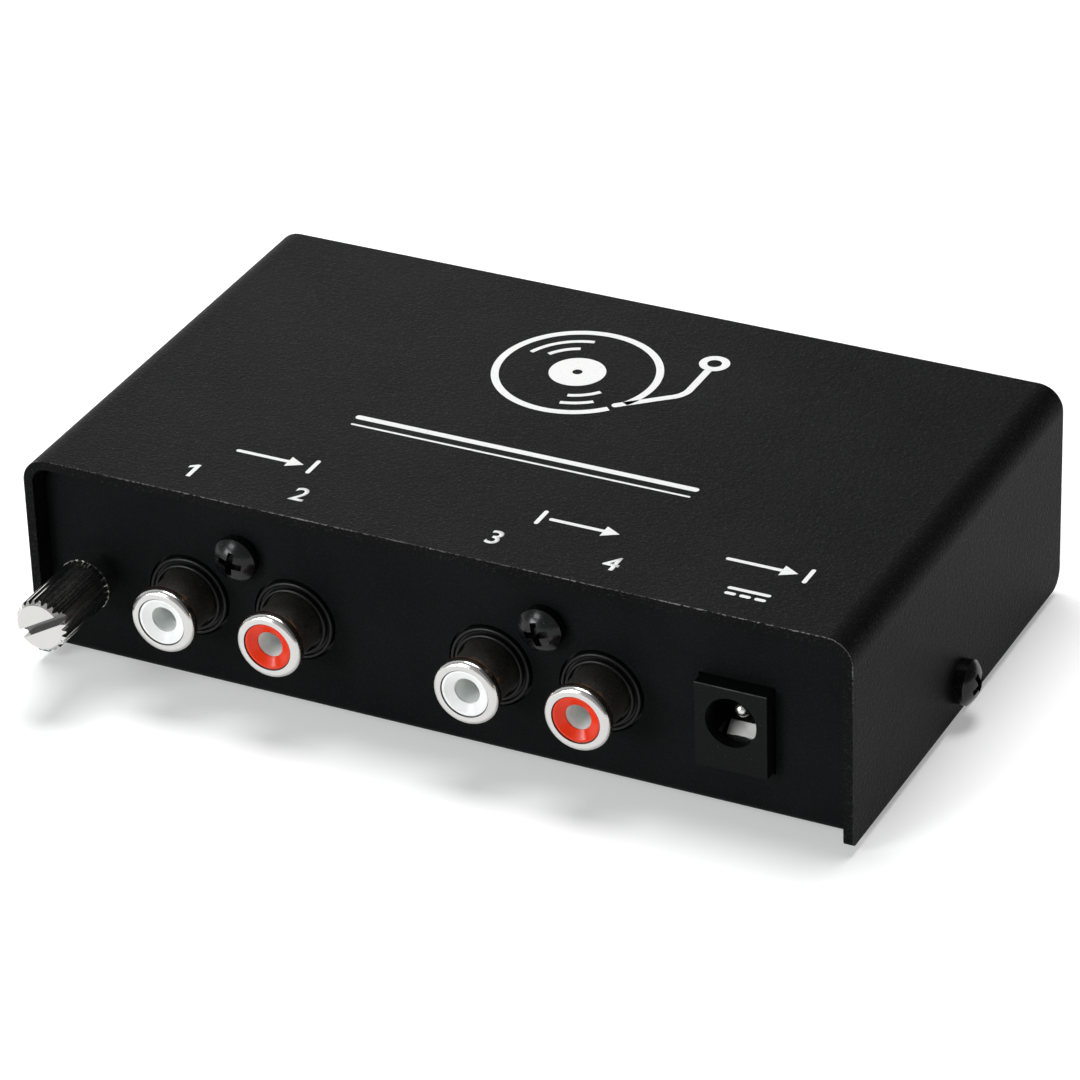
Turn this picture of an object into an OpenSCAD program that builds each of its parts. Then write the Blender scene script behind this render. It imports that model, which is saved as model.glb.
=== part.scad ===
// Small phono preamp in a folded steel box.
// X runs across the box, Y from the connector side to the back, Z up.
// The origin is the middle of the footprint, on the surface the feet stand on.

/* [Cover] */
// Width of the cover across its two sides
case_w = 107; // [107:0.5:130]
// Depth of the cover, front edge to back edge
case_d = 63.8; // [63.8:0.2:90]
// Height of the cover, lower flange edge to top
case_h = 27.2; // [27.2:0.2:40]
// Thickness of the cover's sheet
cover_t = 1.2; // [0.8:0.1:1.4]
// Outer radius of the cover's two long bends
cover_bend_r = 3.2; // [2:0.1:5]
// Radius of the lower front corners of the cover's sides
flange_front_r = 0.8; // [0.3:0.1:2]
// Radius of the lower back corners of the cover's sides
flange_back_r = 2.4; // [0.5:0.1:4]

/* [Base tray] */
// Thickness of the tray's sheet
tray_t = 1; // [0.8:0.1:1.5]
// Inner radius of the tray's two bends
tray_bend_in_r = 0.2; // [0.1:0.1:1]
// Distance of the connector panel behind the cover's front edge
panel_recess = 2.4; // [1.5:0.1:4]
// Distance of the rear panel inside the cover's back edge
rear_recess = 1.2; // [0.5:0.1:3]
// Gap between the tray's edges and the inside of the cover
tray_gap = 0.3; // [0.2:0.05:0.5]
// Length of the two side lugs that take the cover screws
lug_len = 14; // [10:1:24]
// Height of the side lugs
lug_h = 8.4; // [8:0.2:12]

/* [Screws] */
// Diameter of every screw's head
head_d = 5.6; // [5:0.1:6]
// Height of every screw's head
head_h = 2.5; // [2:0.1:2.8]
// Height of the straight side below the head's dome
head_side_h = 1.3; // [0.4:0.1:1.6]
// Thread diameter of the cover, jack and board screws
thread_d = 3; // [2.5:0.5:3]
// Length of the cover screws under the head
cover_screw_len = 4.6; // [3.5:0.2:5]
// Height of the cover screws above the lower flange edge
cover_screw_z = 4.2; // [4:0.1:5]
// Length of the jack screws under the head
jack_screw_len = 8; // [6:0.5:9]
// Length of the board screws under the head
board_screw_len = 4.5; // [3:0.5:4.5]

/* [Rubber feet] */
// Diameter of a foot where it is stuck to the tray
foot_d = 9; // [6:0.5:12]
// Height of a foot
foot_h = 1.2; // [1:0.1:6]
// Distance of a foot's centre from the cover's sides
foot_in_x = 9; // [8:0.5:20]
// Distance of a foot's centre from the cover's front and back edges
foot_in_y = 10; // [9:0.5:20]

/* [Circuit board] */
// Gap between the board and the inside of the cover's sides
board_side_gap = 5.8; // [5:0.1:7]
// Gap between the board and the connector panel
board_front_gap = 1; // [0.5:0.1:1.2]
// Gap between the board and the rear panel
board_rear_gap = 3.2; // [1:0.1:4]
// Thickness of the board
board_t = 1.6; // [1:0.2:1.6]
// Height of the spacers between tray and board
spacer_h = 3.5; // [3:0.1:4.5]
// Diameter of the spacers
spacer_d = 5; // [4.5:0.5:6]

/* [Phono jacks] */
// Distance of the input pair's middle from the cover's left side
input_in_x = 27.5; // [27:0.1:28.5]
// Distance of the output pair's middle from the cover's right side
output_in_x = 39.5; // [38.5:0.1:42]
// Distance between the two jacks of a pair
jack_pitch = 14.2; // [13:0.1:15]
// Height of the jacks' axis above the board
jack_rise = 5.5; // [5.2:0.1:6]
// Distance from the panel's face to the tip of a jack
jack_reach = 6.9; // [6:0.1:10]
// Outer diameter of a jack's rolled lip
lip_d = 8.4; // [8.2:0.1:8.6]
// Length of the rolled lip along the jack
lip_len = 1.3; // [1:0.1:1.6]
// Radius of the rolled lip's front edge
lip_round = 0.7; // [0.3:0.05:0.9]
// Outer diameter of a jack's sleeve
sleeve_d = 7.2; // [7:0.1:8]
// Inner diameter of a jack's sleeve
sleeve_in_d = 6.2; // [5.8:0.1:6.3]
// Diameter of the plug pin's hole in a jack
socket_d = 3.24; // [3.2:0.02:3.3]
// Diameter of the stepped collar's outer ring
collar_d = 10.2; // [9.6:0.1:10.4]
// Diameter of the holes in the panel for the collars
collar_hole_d = 10.8; // [10.4:0.1:11.2]
// Height of the screw between a pair above the jacks' axis
jack_screw_rise = 7.1; // [7:0.1:7.5]

/* [Power inlet] */
// Distance of the inlet's axis from the cover's right side
inlet_in_x = 15.3; // [14:0.1:16]
// Width of the inlet's housing
inlet_w = 9; // [8.6:0.1:9.4]
// Height of the inlet's housing
inlet_h = 11; // [10.8:0.1:11.5]
// Length of the inlet's housing
inlet_len = 14; // [13.5:0.1:15]
// Height of the inlet's axis above the board
inlet_rise = 6.5; // [6.4:0.1:6.8]
// Distance that the inlet stands out of the panel
inlet_proud = 1.85; // [1:0.05:2.2]
// Diameter of the inlet's bore
inlet_bore_d = 6.4; // [6:0.1:6.5]
// Depth of the inlet's bore
inlet_bore_len = 10; // [9.8:0.1:10.5]
// Diameter of the inlet's centre pin
inlet_pin_d = 2; // [1.6:0.1:2.5]
// Distance of the centre pin's tip behind the inlet's face
inlet_pin_recess = 2.5; // [1:0.1:3]
// Thickness of the inlet's metal strips
strip_t = 0.3; // [0.2:0.05:0.35]

/* [Ground terminal] */
// Distance of the terminal's axis from the cover's left side
terminal_in_x = 7.7; // [7.2:0.1:8]
// Diameter of the thumb screw's knurled head
knob_d = 6.8; // [6:0.1:7.6]
// Length of the knurled head
knob_len = 10.8; // [6:0.1:12]
// Number of ridges around the knurled head
knurl_n = 24; // [16:1:32]
// Depth of the knurl
knurl_depth = 0.35; // [0.2:0.05:0.5]
// Width of the screwdriver slot in the head's end
slot_w = 1.1; // [0.8:0.1:1.4]
// Depth of the screwdriver slot
slot_depth = 1.4; // [0.8:0.1:2]
// Angle of the slot, anticlockwise from level
slot_turn = 30; // [0:5:175]
// Thickness of the clamp washer behind the head
clamp_washer_t = 0.5; // [0.4:0.1:0.8]
// Diameter of the clamp washer
clamp_washer_d = 6.2; // [5.6:0.1:7]
// Diameter of the post in front of the panel
post_d = 5.9; // [5.6:0.1:6.6]
// Length of the post in front of the panel
post_len = 2.3; // [2:0.1:6]
// Thread diameter of the post behind the panel
post_thread_d = 5; // [4.6:0.1:5]
// Distance that the thumb screw can be undone
terminal_travel = 3.5; // [2:0.5:4]
// Width across the flats of the post's nut
nut_w = 7.6; // [7:0.1:7.8]
// Thickness of the post's nut
nut_t = 3; // [2:0.1:3.2]

/* [Parts on the board] */
// Diameter of the coupling capacitors
coupling_cap_d = 6.3; // [5:0.1:8]
// Height of the coupling capacitors
coupling_cap_h = 11; // [7:0.5:14]
// Diameter of the reservoir capacitor
reservoir_d = 10; // [8:0.5:10]
// Height of the reservoir capacitor
reservoir_h = 16; // [10:0.5:17]
// Length of a film capacitor's box
film_cap_len = 7.2; // [7:0.1:8]
// Thickness of a film capacitor's box
film_cap_t = 3.5; // [2.5:0.1:4.5]
// Height of a film capacitor's box
film_cap_h = 7.5; // [6:0.5:10]
// Diameter of a resistor's body
resistor_d = 2.3; // [1.8:0.1:2.5]
// Length of a resistor's body
resistor_len = 6.3; // [5:0.1:6.5]

/* [Hidden] */
$fn = 64;

// Clearances
fit_gap = 0.03;
thread_gap = 0.05;
screw_hole_gap = 0.1;
cut = 1;

// Colours
paint = "#1b1c1d";
panel_paint = "#17191a";
nickel = "#c9c8c4";
tinned = "#b9bbbd";
black_plastic = "#121212";
white_plastic = "#efefec";
red_plastic = "#e23a1c";
rubber_black = "#202020";
zinc = "#a9adb1";
board_green = "#1f6b3a";

// The box's own frame: Y from the cover's front edge, Z from its lower flange edge
tray_w = case_w - 2 * cover_t - 2 * tray_gap;
tray_d = case_d - panel_recess - rear_recess;
panel_top = case_h - cover_t - tray_gap;
panel_in_y = panel_recess + tray_t;
mid_y = case_d / 2;

board_z = tray_t + spacer_h;
board_top = board_z + board_t;
board_front = panel_in_y + board_front_gap;
board_w = case_w - 2 * cover_t - 2 * board_side_gap;
board_d = tray_d - 2 * tray_t - board_front_gap - board_rear_gap;
tail_z = board_z - 1;
tail_len = board_top - tail_z;

input_x = input_in_x - case_w / 2;
output_x = case_w / 2 - output_in_x;
jack_z = board_top + jack_rise;
jack_screw_z = jack_z + jack_screw_rise;
cover_screw_turn = 20;
jack_tip_y = panel_recess - jack_reach;
housing_d = 9;
sleeve_end_y = panel_in_y + housing_d + 3 * strip_t;
tag_w = 1.2;
insulator_recess = 0.15;
insulator_front_y = jack_tip_y + insulator_recess;
insulator_end_y = sleeve_end_y + 0.5;
insulator_len = insulator_end_y - insulator_front_y;
dish_depth = 0.6;
dish_d = sleeve_in_d - 0.8;
contact_wall = 0.4;
contact_set_back = 0.2;
socket_lead_in = 0.06;
contact_end_y = insulator_end_y + 1.2;
contact_slit_w = 0.35;
contact_slit_len = 6;
collar_proud = 0.4;
collar_ridge_w = 0.5;
collar_groove = 0.2;
inner_collar_d = collar_d - 2 * collar_ridge_w - 2 * collar_groove;
inner_collar_proud = 0.8;
collar_base_proud = 0.1;
housing_side = 6.8;
housing_above = 5.8;
housing_w = jack_pitch + 2 * housing_side;
housing_h = jack_rise + housing_above;
screw_boss_w = 7.2;
screw_boss_rise = 3.4;

inlet_x = case_w / 2 - inlet_in_x;
inlet_z = board_top + inlet_rise;
inlet_face_y = panel_recess - inlet_proud;
inlet_back_y = inlet_face_y + inlet_len;
inlet_hole_gap = 0.25;
inlet_tag_w = 2;
spring_w = 4;
spring_hinge_in = 9.2;
spring_hinge_drop = 4.6;
spring_hinge_y = inlet_face_y + spring_hinge_in;
spring_hinge_z = inlet_z - spring_hinge_drop;
spring_slot_w = spring_w + 0.5;
spring_slot_z = board_top + 0.8;
plug_r = 2.75;
spring_bite = 0.3;
switch_w = 1.6;
switch_finger_in = 1.75;
switch_tag_in = 5.2;

terminal_x = terminal_in_x - case_w / 2;
terminal_z = jack_z;
post_front_y = panel_recess - post_len;
knob_back_y = post_front_y - clamp_washer_t;
knob_front_y = knob_back_y - knob_len;
knob_bevel = 0.5;
knob_rim_len = 0.3;
knob_rim_proud = 0.02;
terminal_thread_d = 3;
lock_washer_t = 0.5;
ring_tag_t = 0.5;
ring_tag_d = 8.2;
ring_tag_w = 3;
ring_tag_len = 7.4;
nut_back_y = panel_in_y + lock_washer_t + ring_tag_t + nut_t;
post_end_y = nut_back_y + 1.2;
thread_hold = 4.5;
terminal_shank_len = clamp_washer_t + terminal_travel + thread_hold;
wire_r = 0.65;
wire_bend_r = 3;
wire_start_y = panel_in_y + lock_washer_t + ring_tag_t;
wire_drop_y = post_end_y + wire_r + 0.8;
wire_top_z = terminal_z + ring_tag_len - 1;

// Lead wires of the parts on the board, and the holes they pass
lead_r = 0.3;
lead_hole_r = lead_r + fit_gap;
tag_hole_r = 0.7;

// Moves the box's own frame to the model's origin
front_y = -(case_d + knob_front_y) / 2;

// Places on the board, X from the middle of the box and Y from the board's front edge
channel_y = [22, 40];
board_hole_x = board_w / 2 - 4.5;
board_hole_ys = [13, board_d - 5];
op_amp_xs = [-23, 3];
op_amp_y = 31;
coupling_cap_xs = [-36, 16];
film_cap_xs = [-27, -9, 9];
resistor_xs = [-17.9, -0.2];
resistor_rows = [17, 21, 25, 37, 41, 45];
load_cap_y = 13.5;
reservoir_at = [inlet_x - 6.2, 40];
regulator_at = [inlet_x - 12.2, 26];
diode_at = [inlet_x - 0.2, 22];
lead_pitch_film = 5;
lead_pitch_cap = 2.5;
lead_pitch_reservoir = 5;
lead_pitch_resistor = resistor_len + 2.6;
lead_pitch_diode = 8;
dip_pitch = 2.54;
dip_row = 7.62;

jack_xs = [
    input_x - jack_pitch / 2, input_x + jack_pitch / 2,
    output_x - jack_pitch / 2, output_x + jack_pitch / 2,
];

// ---------- helpers ----------

module place() {
    translate([0, front_y, foot_h]) children();
}

// Extrudes an outline drawn in X and Z towards the back, from y = 0
module along_y(len) {
    translate([0, len, 0]) rotate([90, 0, 0]) linear_extrude(len) children();
}

// Extrudes an outline drawn in Y and Z across the box, centred
module along_x(len) {
    rotate([90, 0, 90]) linear_extrude(len, center = true) children();
}

// Turns a shape built along +Z so that it runs along +Y from the given place
module facing_back(x, y, z) {
    translate([x, y, z]) rotate([-90, 0, 0]) children();
}

// Outline with a straight foot and two round top corners
module arch(w, h, r) {
    translate([-w / 2, 0]) square([w, h - r]);
    translate([-w / 2 + r, 0]) square([w - 2 * r, h]);
    for (side = [-1, 1]) translate([side * (w / 2 - r), h - r]) circle(r);
}

// Outline with two round lower corners
module cradle(len, h, r_front, r_back) {
    translate([r_front, 0]) square([len - r_front - r_back, h]);
    translate([0, r_front]) square([r_front, h - r_front]);
    translate([r_front, r_front]) circle(r_front);
    translate([len - r_back, r_back]) square([r_back, h - r_back]);
    translate([len - r_back, r_back]) circle(r_back);
}

// Ring from radius r_in to r_out and height h, with its lower outer edge rounded
module rounded_ring(r_in, r_out, h, round_r) {
    rotate_extrude() {
        translate([r_in, round_r]) square([r_out - r_in, h - round_r]);
        translate([r_in, 0]) square([r_out - r_in - round_r, h]);
        translate([r_out - round_r, round_r]) circle(round_r);
    }
}

// Domed cross-head screw, head above z = 0 and shank below
module dome_screw(shank_len, turn) {
    dome_h = head_h - head_side_h;
    dome_r = (pow(head_d / 2, 2) + pow(dome_h, 2)) / (2 * dome_h);
    difference() {
        union() {
            intersection() {
                cylinder(d = head_d, h = head_h);
                translate([0, 0, head_h - dome_r]) sphere(dome_r);
            }
            translate([0, 0, -shank_len])
                cylinder(d = thread_d - 2 * thread_gap, h = shank_len + head_h / 4);
        }
        for (arm = [0, 90]) rotate(arm + turn)
            translate([-head_d * 0.27, -head_d * 0.075, head_h * 0.4])
                cube([head_d * 0.54, head_d * 0.15, head_h]);
    }
}

// Strip bent along a list of points in Y and Z, thickness downwards
function lowered(points, drop) = [for (p = points) [p[0], p[1] - drop]];
function backwards(points) = [for (i = [len(points) - 1:-1:0]) points[i]];

module bent_strip(points, w, t) {
    along_x(w) polygon(concat(points, backwards(lowered(points, t))));
}

module tail(x, y, r = lead_r) {
    translate([x, board_front + y, tail_z]) cylinder(r = r, h = tail_len + 0.2);
}

// ---------- box ----------

module cover() {
    color(paint) place() difference() {
        intersection() {
            along_y(case_d) difference() {
                arch(case_w, case_h, cover_bend_r);
                translate([0, -cut])
                    arch(case_w - 2 * cover_t, case_h - cover_t + cut, cover_bend_r - cover_t);
            }
            along_x(case_w) cradle(case_d, case_h, flange_front_r, flange_back_r);
        }
        cover_screw_holes(thread_d / 2 + screw_hole_gap);
    }
}

module cover_screw_holes(r) {
    translate([-case_w / 2 - cut, mid_y, cover_screw_z]) rotate([0, 90, 0])
        cylinder(r = r, h = case_w + 2 * cut);
}

module tray_section() {
    bend_r = tray_bend_in_r + tray_t;
    translate([panel_recess, 0]) difference() {
        cradle(tray_d, panel_top, bend_r, bend_r);
        translate([tray_t, tray_t])
            cradle(tray_d - 2 * tray_t, panel_top, tray_bend_in_r, tray_bend_in_r);
    }
}

module panel_hole(x, z, r) {
    facing_back(x, panel_recess - cut, z) cylinder(r = r, h = tray_t + 2 * cut);
}

module base_tray() {
    color(panel_paint) place() difference() {
        union() {
            intersection() {
                along_x(tray_w) tray_section();
                along_y(case_d) arch(tray_w, panel_top, cover_bend_r);
            }
            for (side = [-1, 1])
                translate([side * (tray_w - tray_t) / 2, mid_y, lug_h / 2])
                    cube([tray_t, lug_len, lug_h], center = true);
        }
        for (x = jack_xs) panel_hole(x, jack_z, collar_hole_d / 2);
        for (x = [input_x, output_x]) panel_hole(x, jack_screw_z, thread_d / 2 + screw_hole_gap);
        panel_hole(terminal_x, terminal_z, post_thread_d / 2 + screw_hole_gap);
        translate([inlet_x - inlet_w / 2 - inlet_hole_gap, panel_recess - cut, board_top - inlet_hole_gap])
            cube([inlet_w + 2 * inlet_hole_gap, tray_t + 2 * cut, inlet_h + 2 * inlet_hole_gap]);
        cover_screw_holes(thread_d / 2);
    }
}

module cover_screws() {
    color(black_plastic) place() for (side = [-1, 1])
        translate([side * case_w / 2, mid_y, cover_screw_z]) rotate([0, side * 90, 0])
            dome_screw(cover_screw_len, cover_screw_turn);
}

module rubber_feet() {
    color(rubber_black) place()
        for (x = [-1, 1], y = [foot_in_y, case_d - foot_in_y])
            translate([x * (case_w / 2 - foot_in_x), y, -foot_h])
                cylinder(d1 = foot_d - 1, d2 = foot_d, h = foot_h);
}

// ---------- phono jacks ----------

// Ring that stands proud of the panel's face, with a round crest
module collar_ridge(r_out, proud) {
    crest_r = collar_ridge_w / 2;
    rotate_extrude() {
        translate([r_out - collar_ridge_w, crest_r - proud]) square([collar_ridge_w, proud]);
        translate([r_out - crest_r, crest_r - proud]) circle(crest_r);
    }
}

module jack_housing(x) {
    color(black_plastic) place() difference() {
        union() {
            translate([x - housing_w / 2, panel_in_y, board_top])
                cube([housing_w, housing_d, housing_h]);
            translate([x - screw_boss_w / 2, panel_in_y, board_top + housing_h - cut])
                cube([screw_boss_w, housing_d, jack_screw_z + screw_boss_rise - board_top - housing_h + cut]);
            for (side = [-1, 1]) {
                jack_x = x + side * jack_pitch / 2;
                facing_back(jack_x, panel_recess - collar_base_proud, jack_z)
                    cylinder(d = collar_d, h = collar_base_proud + tray_t + cut);
                facing_back(jack_x, panel_recess, jack_z) {
                    collar_ridge(collar_d / 2, collar_proud);
                    collar_ridge(inner_collar_d / 2, inner_collar_proud);
                }
            }
        }
        for (side = [-1, 1])
            facing_back(x + side * jack_pitch / 2, jack_tip_y, jack_z)
                cylinder(d = sleeve_d + 2 * fit_gap, h = jack_reach + tray_t + housing_d + cut);
        facing_back(x, panel_in_y - cut, jack_screw_z)
            cylinder(d = thread_d, h = jack_screw_len + cut);
    }
}

module jack_sleeve(x) {
    color(nickel) place() difference() {
        union() {
            facing_back(x, jack_tip_y, jack_z) rounded_ring(0, lip_d / 2, lip_len, lip_round);
            facing_back(x, jack_tip_y + lip_len / 2, jack_z)
                cylinder(d = sleeve_d, h = sleeve_end_y - jack_tip_y - lip_len / 2);
            translate([x - tag_w / 2, sleeve_end_y - 2 * strip_t, tail_z])
                cube([tag_w, 2 * strip_t, jack_z - tail_z]);
        }
        facing_back(x, jack_tip_y - cut, jack_z)
            cylinder(d = sleeve_in_d, h = sleeve_end_y - jack_tip_y + 2 * cut);
    }
}

module jack_insulator(x, shade) {
    color(shade) place() facing_back(x, insulator_front_y, jack_z) difference() {
        cylinder(d = sleeve_in_d - 2 * fit_gap, h = insulator_len);
        cylinder(d1 = dish_d, d2 = socket_d + socket_lead_in, h = dish_depth);
        translate([0, 0, -cut]) cylinder(d = socket_d + socket_lead_in, h = dish_depth + 2 * cut);
        translate([0, 0, dish_depth + contact_set_back - socket_lead_in])
            cylinder(d = socket_d + 2 * contact_wall + 2 * fit_gap, h = insulator_len);
    }
}

module jack_contact(x) {
    start_y = insulator_front_y + dish_depth + contact_set_back;
    len = contact_end_y - start_y;
    color(tinned) place() {
        facing_back(x, start_y, jack_z) difference() {
            cylinder(d = socket_d + 2 * contact_wall, h = len);
            translate([0, 0, -cut]) cylinder(d = socket_d, h = len - 1 + cut);
            rotate(45) translate([-socket_d, -contact_slit_w / 2, -cut])
                cube([2 * socket_d, contact_slit_w, contact_slit_len + cut]);
        }
        translate([x - tag_w / 2, contact_end_y - 2 * strip_t, tail_z])
            cube([tag_w, 2 * strip_t, jack_z - tail_z]);
    }
}

module jack_screws() {
    color(black_plastic) place() for (spot = [[input_x, -11], [output_x, 14]])
        translate([spot[0], panel_recess, jack_screw_z]) rotate([90, 0, 0])
            dome_screw(jack_screw_len - 0.5, spot[1]);
}

// ---------- power inlet ----------

module inlet_housing() {
    color(black_plastic) place() difference() {
        translate([inlet_x - inlet_w / 2, inlet_face_y, board_top])
            cube([inlet_w, inlet_len, inlet_h]);
        facing_back(inlet_x, inlet_face_y - cut, inlet_z)
            cylinder(d = inlet_bore_d, h = inlet_bore_len + cut);
        facing_back(inlet_x, inlet_face_y, inlet_z)
            cylinder(d = inlet_pin_d + 2 * fit_gap, h = inlet_len + cut);
        translate([inlet_x - spring_slot_w / 2, inlet_face_y + 1.5, spring_slot_z])
            cube([spring_slot_w, inlet_bore_len - 1.5, inlet_rise - 0.8 - inlet_pin_d]);
        translate([inlet_x - inlet_tag_w / 2 - fit_gap, spring_hinge_y + strip_t - fit_gap, board_top - cut])
            cube([inlet_tag_w + 2 * fit_gap, strip_t + 2 * fit_gap, 2 * cut]);
        translate([inlet_x - switch_w / 2 - fit_gap, inlet_face_y + switch_tag_in - fit_gap, board_top - cut])
            cube([switch_w + 2 * fit_gap, strip_t + 2 * fit_gap, 2 * cut]);
    }
}

module inlet_pin() {
    tip_y = inlet_face_y + inlet_pin_recess;
    color(nickel) place() {
        translate([inlet_x, tip_y + inlet_pin_d / 2, inlet_z]) sphere(d = inlet_pin_d);
        facing_back(inlet_x, tip_y + inlet_pin_d / 2, inlet_z)
            cylinder(d = inlet_pin_d, h = inlet_back_y - tip_y - inlet_pin_d / 2 + strip_t);
        translate([inlet_x - inlet_tag_w / 2, inlet_back_y + fit_gap, tail_z])
            cube([inlet_tag_w, 2 * strip_t, inlet_z - tail_z + inlet_pin_d / 2]);
    }
}

module inlet_spring() {
    crest_z = -plug_r + spring_bite;
    hinge_z = spring_hinge_z - inlet_z + strip_t / 2;
    top_line = [
        [2.2, -3.7], [3.2, -3.7], [4.5, crest_z], [5.4, crest_z], [spring_hinge_in - 0.1, hinge_z],
    ];
    color(nickel) place() translate([inlet_x, inlet_face_y, inlet_z])
        bent_strip(top_line, spring_w, strip_t);
}

module inlet_spring_tag() {
    color(nickel) place()
        translate([inlet_x - inlet_tag_w / 2, spring_hinge_y + strip_t, tail_z])
            cube([inlet_tag_w, strip_t, spring_hinge_z - tail_z + strip_t]);
}

module inlet_switch_contact() {
    floor_z = spring_slot_z + 0.1;
    finger_z = inlet_z - 3.6;
    color(tinned) place() translate([inlet_x, inlet_face_y, 0]) along_x(switch_w) {
        translate([switch_tag_in, tail_z]) square([strip_t, floor_z + strip_t - tail_z]);
        translate([switch_finger_in, floor_z])
            square([switch_tag_in - switch_finger_in + strip_t, strip_t]);
        translate([switch_finger_in, floor_z]) square([strip_t, finger_z + strip_t - floor_z]);
        translate([switch_finger_in, finger_z]) square([1, strip_t]);
    }
}

// ---------- ground terminal ----------

function knurl_outline() = [
    for (i = [0:4 * knurl_n - 1])
        let (turn = i * 90 / knurl_n)
        let (r = knob_d / 2 - (i % 4 < 2 ? 0 : knurl_depth))
        [r * cos(turn), r * sin(turn)]
];

module ground_thumb_screw() {
    color(nickel) place() facing_back(terminal_x, knob_front_y, terminal_z) difference() {
        union() {
            intersection() {
                linear_extrude(knob_len - knob_rim_len / 2) polygon(knurl_outline());
                union() {
                    cylinder(d1 = knob_d - 2 * knob_bevel, d2 = knob_d, h = knob_bevel);
                    translate([0, 0, knob_bevel]) cylinder(d = knob_d, h = knob_len - knob_bevel);
                }
            }
            translate([0, 0, knob_len - knob_rim_len])
                cylinder(d = knob_d + 2 * knob_rim_proud, h = knob_rim_len);
            translate([0, 0, knob_len - cut])
                cylinder(d = terminal_thread_d - 2 * thread_gap, h = terminal_shank_len + cut);
        }
        rotate(-slot_turn) translate([-knob_d / 2 - cut, -slot_w / 2, -cut])
            cube([knob_d + 2 * cut, slot_w, slot_depth + cut]);
    }
}

module ground_clamp_washer() {
    color(nickel) place() facing_back(terminal_x, knob_back_y, terminal_z) difference() {
        cylinder(d = clamp_washer_d, h = clamp_washer_t);
        translate([0, 0, -cut]) cylinder(d = terminal_thread_d + 0.2, h = clamp_washer_t + 2 * cut);
    }
}

module ground_post() {
    color(nickel) place() facing_back(terminal_x, post_front_y, terminal_z) difference() {
        union() {
            cylinder(d = post_d, h = post_len);
            cylinder(d = post_thread_d - 2 * thread_gap, h = post_end_y - post_front_y);
        }
        translate([0, 0, -cut]) cylinder(d = terminal_thread_d, h = post_end_y - post_front_y + 2 * cut);
    }
}

module ground_lock_washer() {
    tooth_n = 12;
    washer_d = 7.6;
    color(zinc) place() facing_back(terminal_x, panel_in_y, terminal_z) difference() {
        cylinder(d = washer_d, h = lock_washer_t);
        translate([0, 0, -cut]) cylinder(d = post_thread_d, h = lock_washer_t + 2 * cut);
        for (i = [0:tooth_n - 1]) rotate(i * 360 / tooth_n)
            translate([washer_d / 2 - 0.6, -0.3, -cut]) cube([1, 0.6, lock_washer_t + 2 * cut]);
    }
}

module ground_ring_tag() {
    color(tinned) place() facing_back(terminal_x, panel_in_y + lock_washer_t, terminal_z) difference() {
        union() {
            cylinder(d = ring_tag_d, h = ring_tag_t);
            translate([-ring_tag_w / 2, -ring_tag_len, 0]) cube([ring_tag_w, ring_tag_len, ring_tag_t]);
        }
        translate([0, 0, -cut]) cylinder(d = post_thread_d, h = ring_tag_t + 2 * cut);
    }
}

module ground_nut() {
    color(zinc) place()
        facing_back(terminal_x, nut_back_y - nut_t, terminal_z) difference() {
            rotate(30) cylinder(d = nut_w / cos(30), h = nut_t, $fn = 6);
            translate([0, 0, -cut]) cylinder(d = post_thread_d, h = nut_t + 2 * cut);
        }
}

module ground_wire() {
    color("#2f8f46") place() translate([terminal_x, 0, 0]) {
        facing_back(0, wire_start_y, wire_top_z)
            cylinder(r = wire_r, h = wire_drop_y - wire_bend_r - wire_start_y);
        translate([0, wire_drop_y - wire_bend_r, wire_top_z - wire_bend_r]) rotate([90, 0, 90])
            rotate_extrude(angle = 90) translate([wire_bend_r, 0]) circle(wire_r);
        translate([0, wire_drop_y, board_top])
            cylinder(r = wire_r, h = wire_top_z - wire_bend_r - board_top);
    }
}

// ---------- circuit board ----------

module board_holes() {
    for (x = [-1, 1] * board_hole_x, y = board_hole_ys)
        translate([x, board_front + y, board_z - cut])
            cylinder(d = thread_d + 2 * screw_hole_gap, h = board_t + 2 * cut);
}

module lead_holes() {
    for (p = lead_points()) translate([p[0], board_front + p[1], board_z - cut])
        cylinder(r = lead_hole_r, h = board_t + 2 * cut, $fn = 16);
}

module tag_holes() {
    for (x = jack_xs, y = [sleeve_end_y - strip_t, contact_end_y - strip_t])
        translate([x, y, board_z - cut]) cylinder(r = tag_hole_r, h = board_t + 2 * cut);
    inlet_tag_ys = [inlet_face_y + switch_tag_in + strip_t / 2, spring_hinge_y + strip_t * 1.5, inlet_back_y + strip_t];
    for (y = inlet_tag_ys) translate([inlet_x, y, board_z - cut])
        cylinder(d = inlet_tag_w + 0.5, h = board_t + 2 * cut);
}

function pair(p, pitch) = [[p[0] - pitch / 2, p[1]], [p[0] + pitch / 2, p[1]]];
function lead_points() = concat(
    [for (x = coupling_cap_xs, y = channel_y, q = pair([x, y], lead_pitch_cap)) q],
    [for (x = film_cap_xs, y = [channel_y[0] - 2, channel_y[1] + 8], q = pair([x, y], lead_pitch_film)) q],
    [for (x = resistor_xs, y = resistor_rows, q = pair([x, y], lead_pitch_resistor)) q],
    [for (x = op_amp_xs, q = dip_leads([x, op_amp_y])) q],
    [for (x = [jack_xs[0], jack_xs[1]], q = pair([x, load_cap_y], lead_pitch_cap)) q],
    pair(reservoir_at, lead_pitch_reservoir),
    pair(diode_at, lead_pitch_diode),
    [for (i = [-1, 0, 1]) [regulator_at[0] + i * dip_pitch / 2, regulator_at[1]]]
);
function dip_leads(p) = [
    for (i = [-1.5, -0.5, 0.5, 1.5], side = [-1, 1]) [p[0] + i * dip_pitch, p[1] + side * dip_row / 2]
];

module circuit_board() {
    color(board_green) place() difference() {
        translate([-board_w / 2, board_front, board_z]) cube([board_w, board_d, board_t]);
        board_holes();
        lead_holes();
        tag_holes();
    }
}

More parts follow.
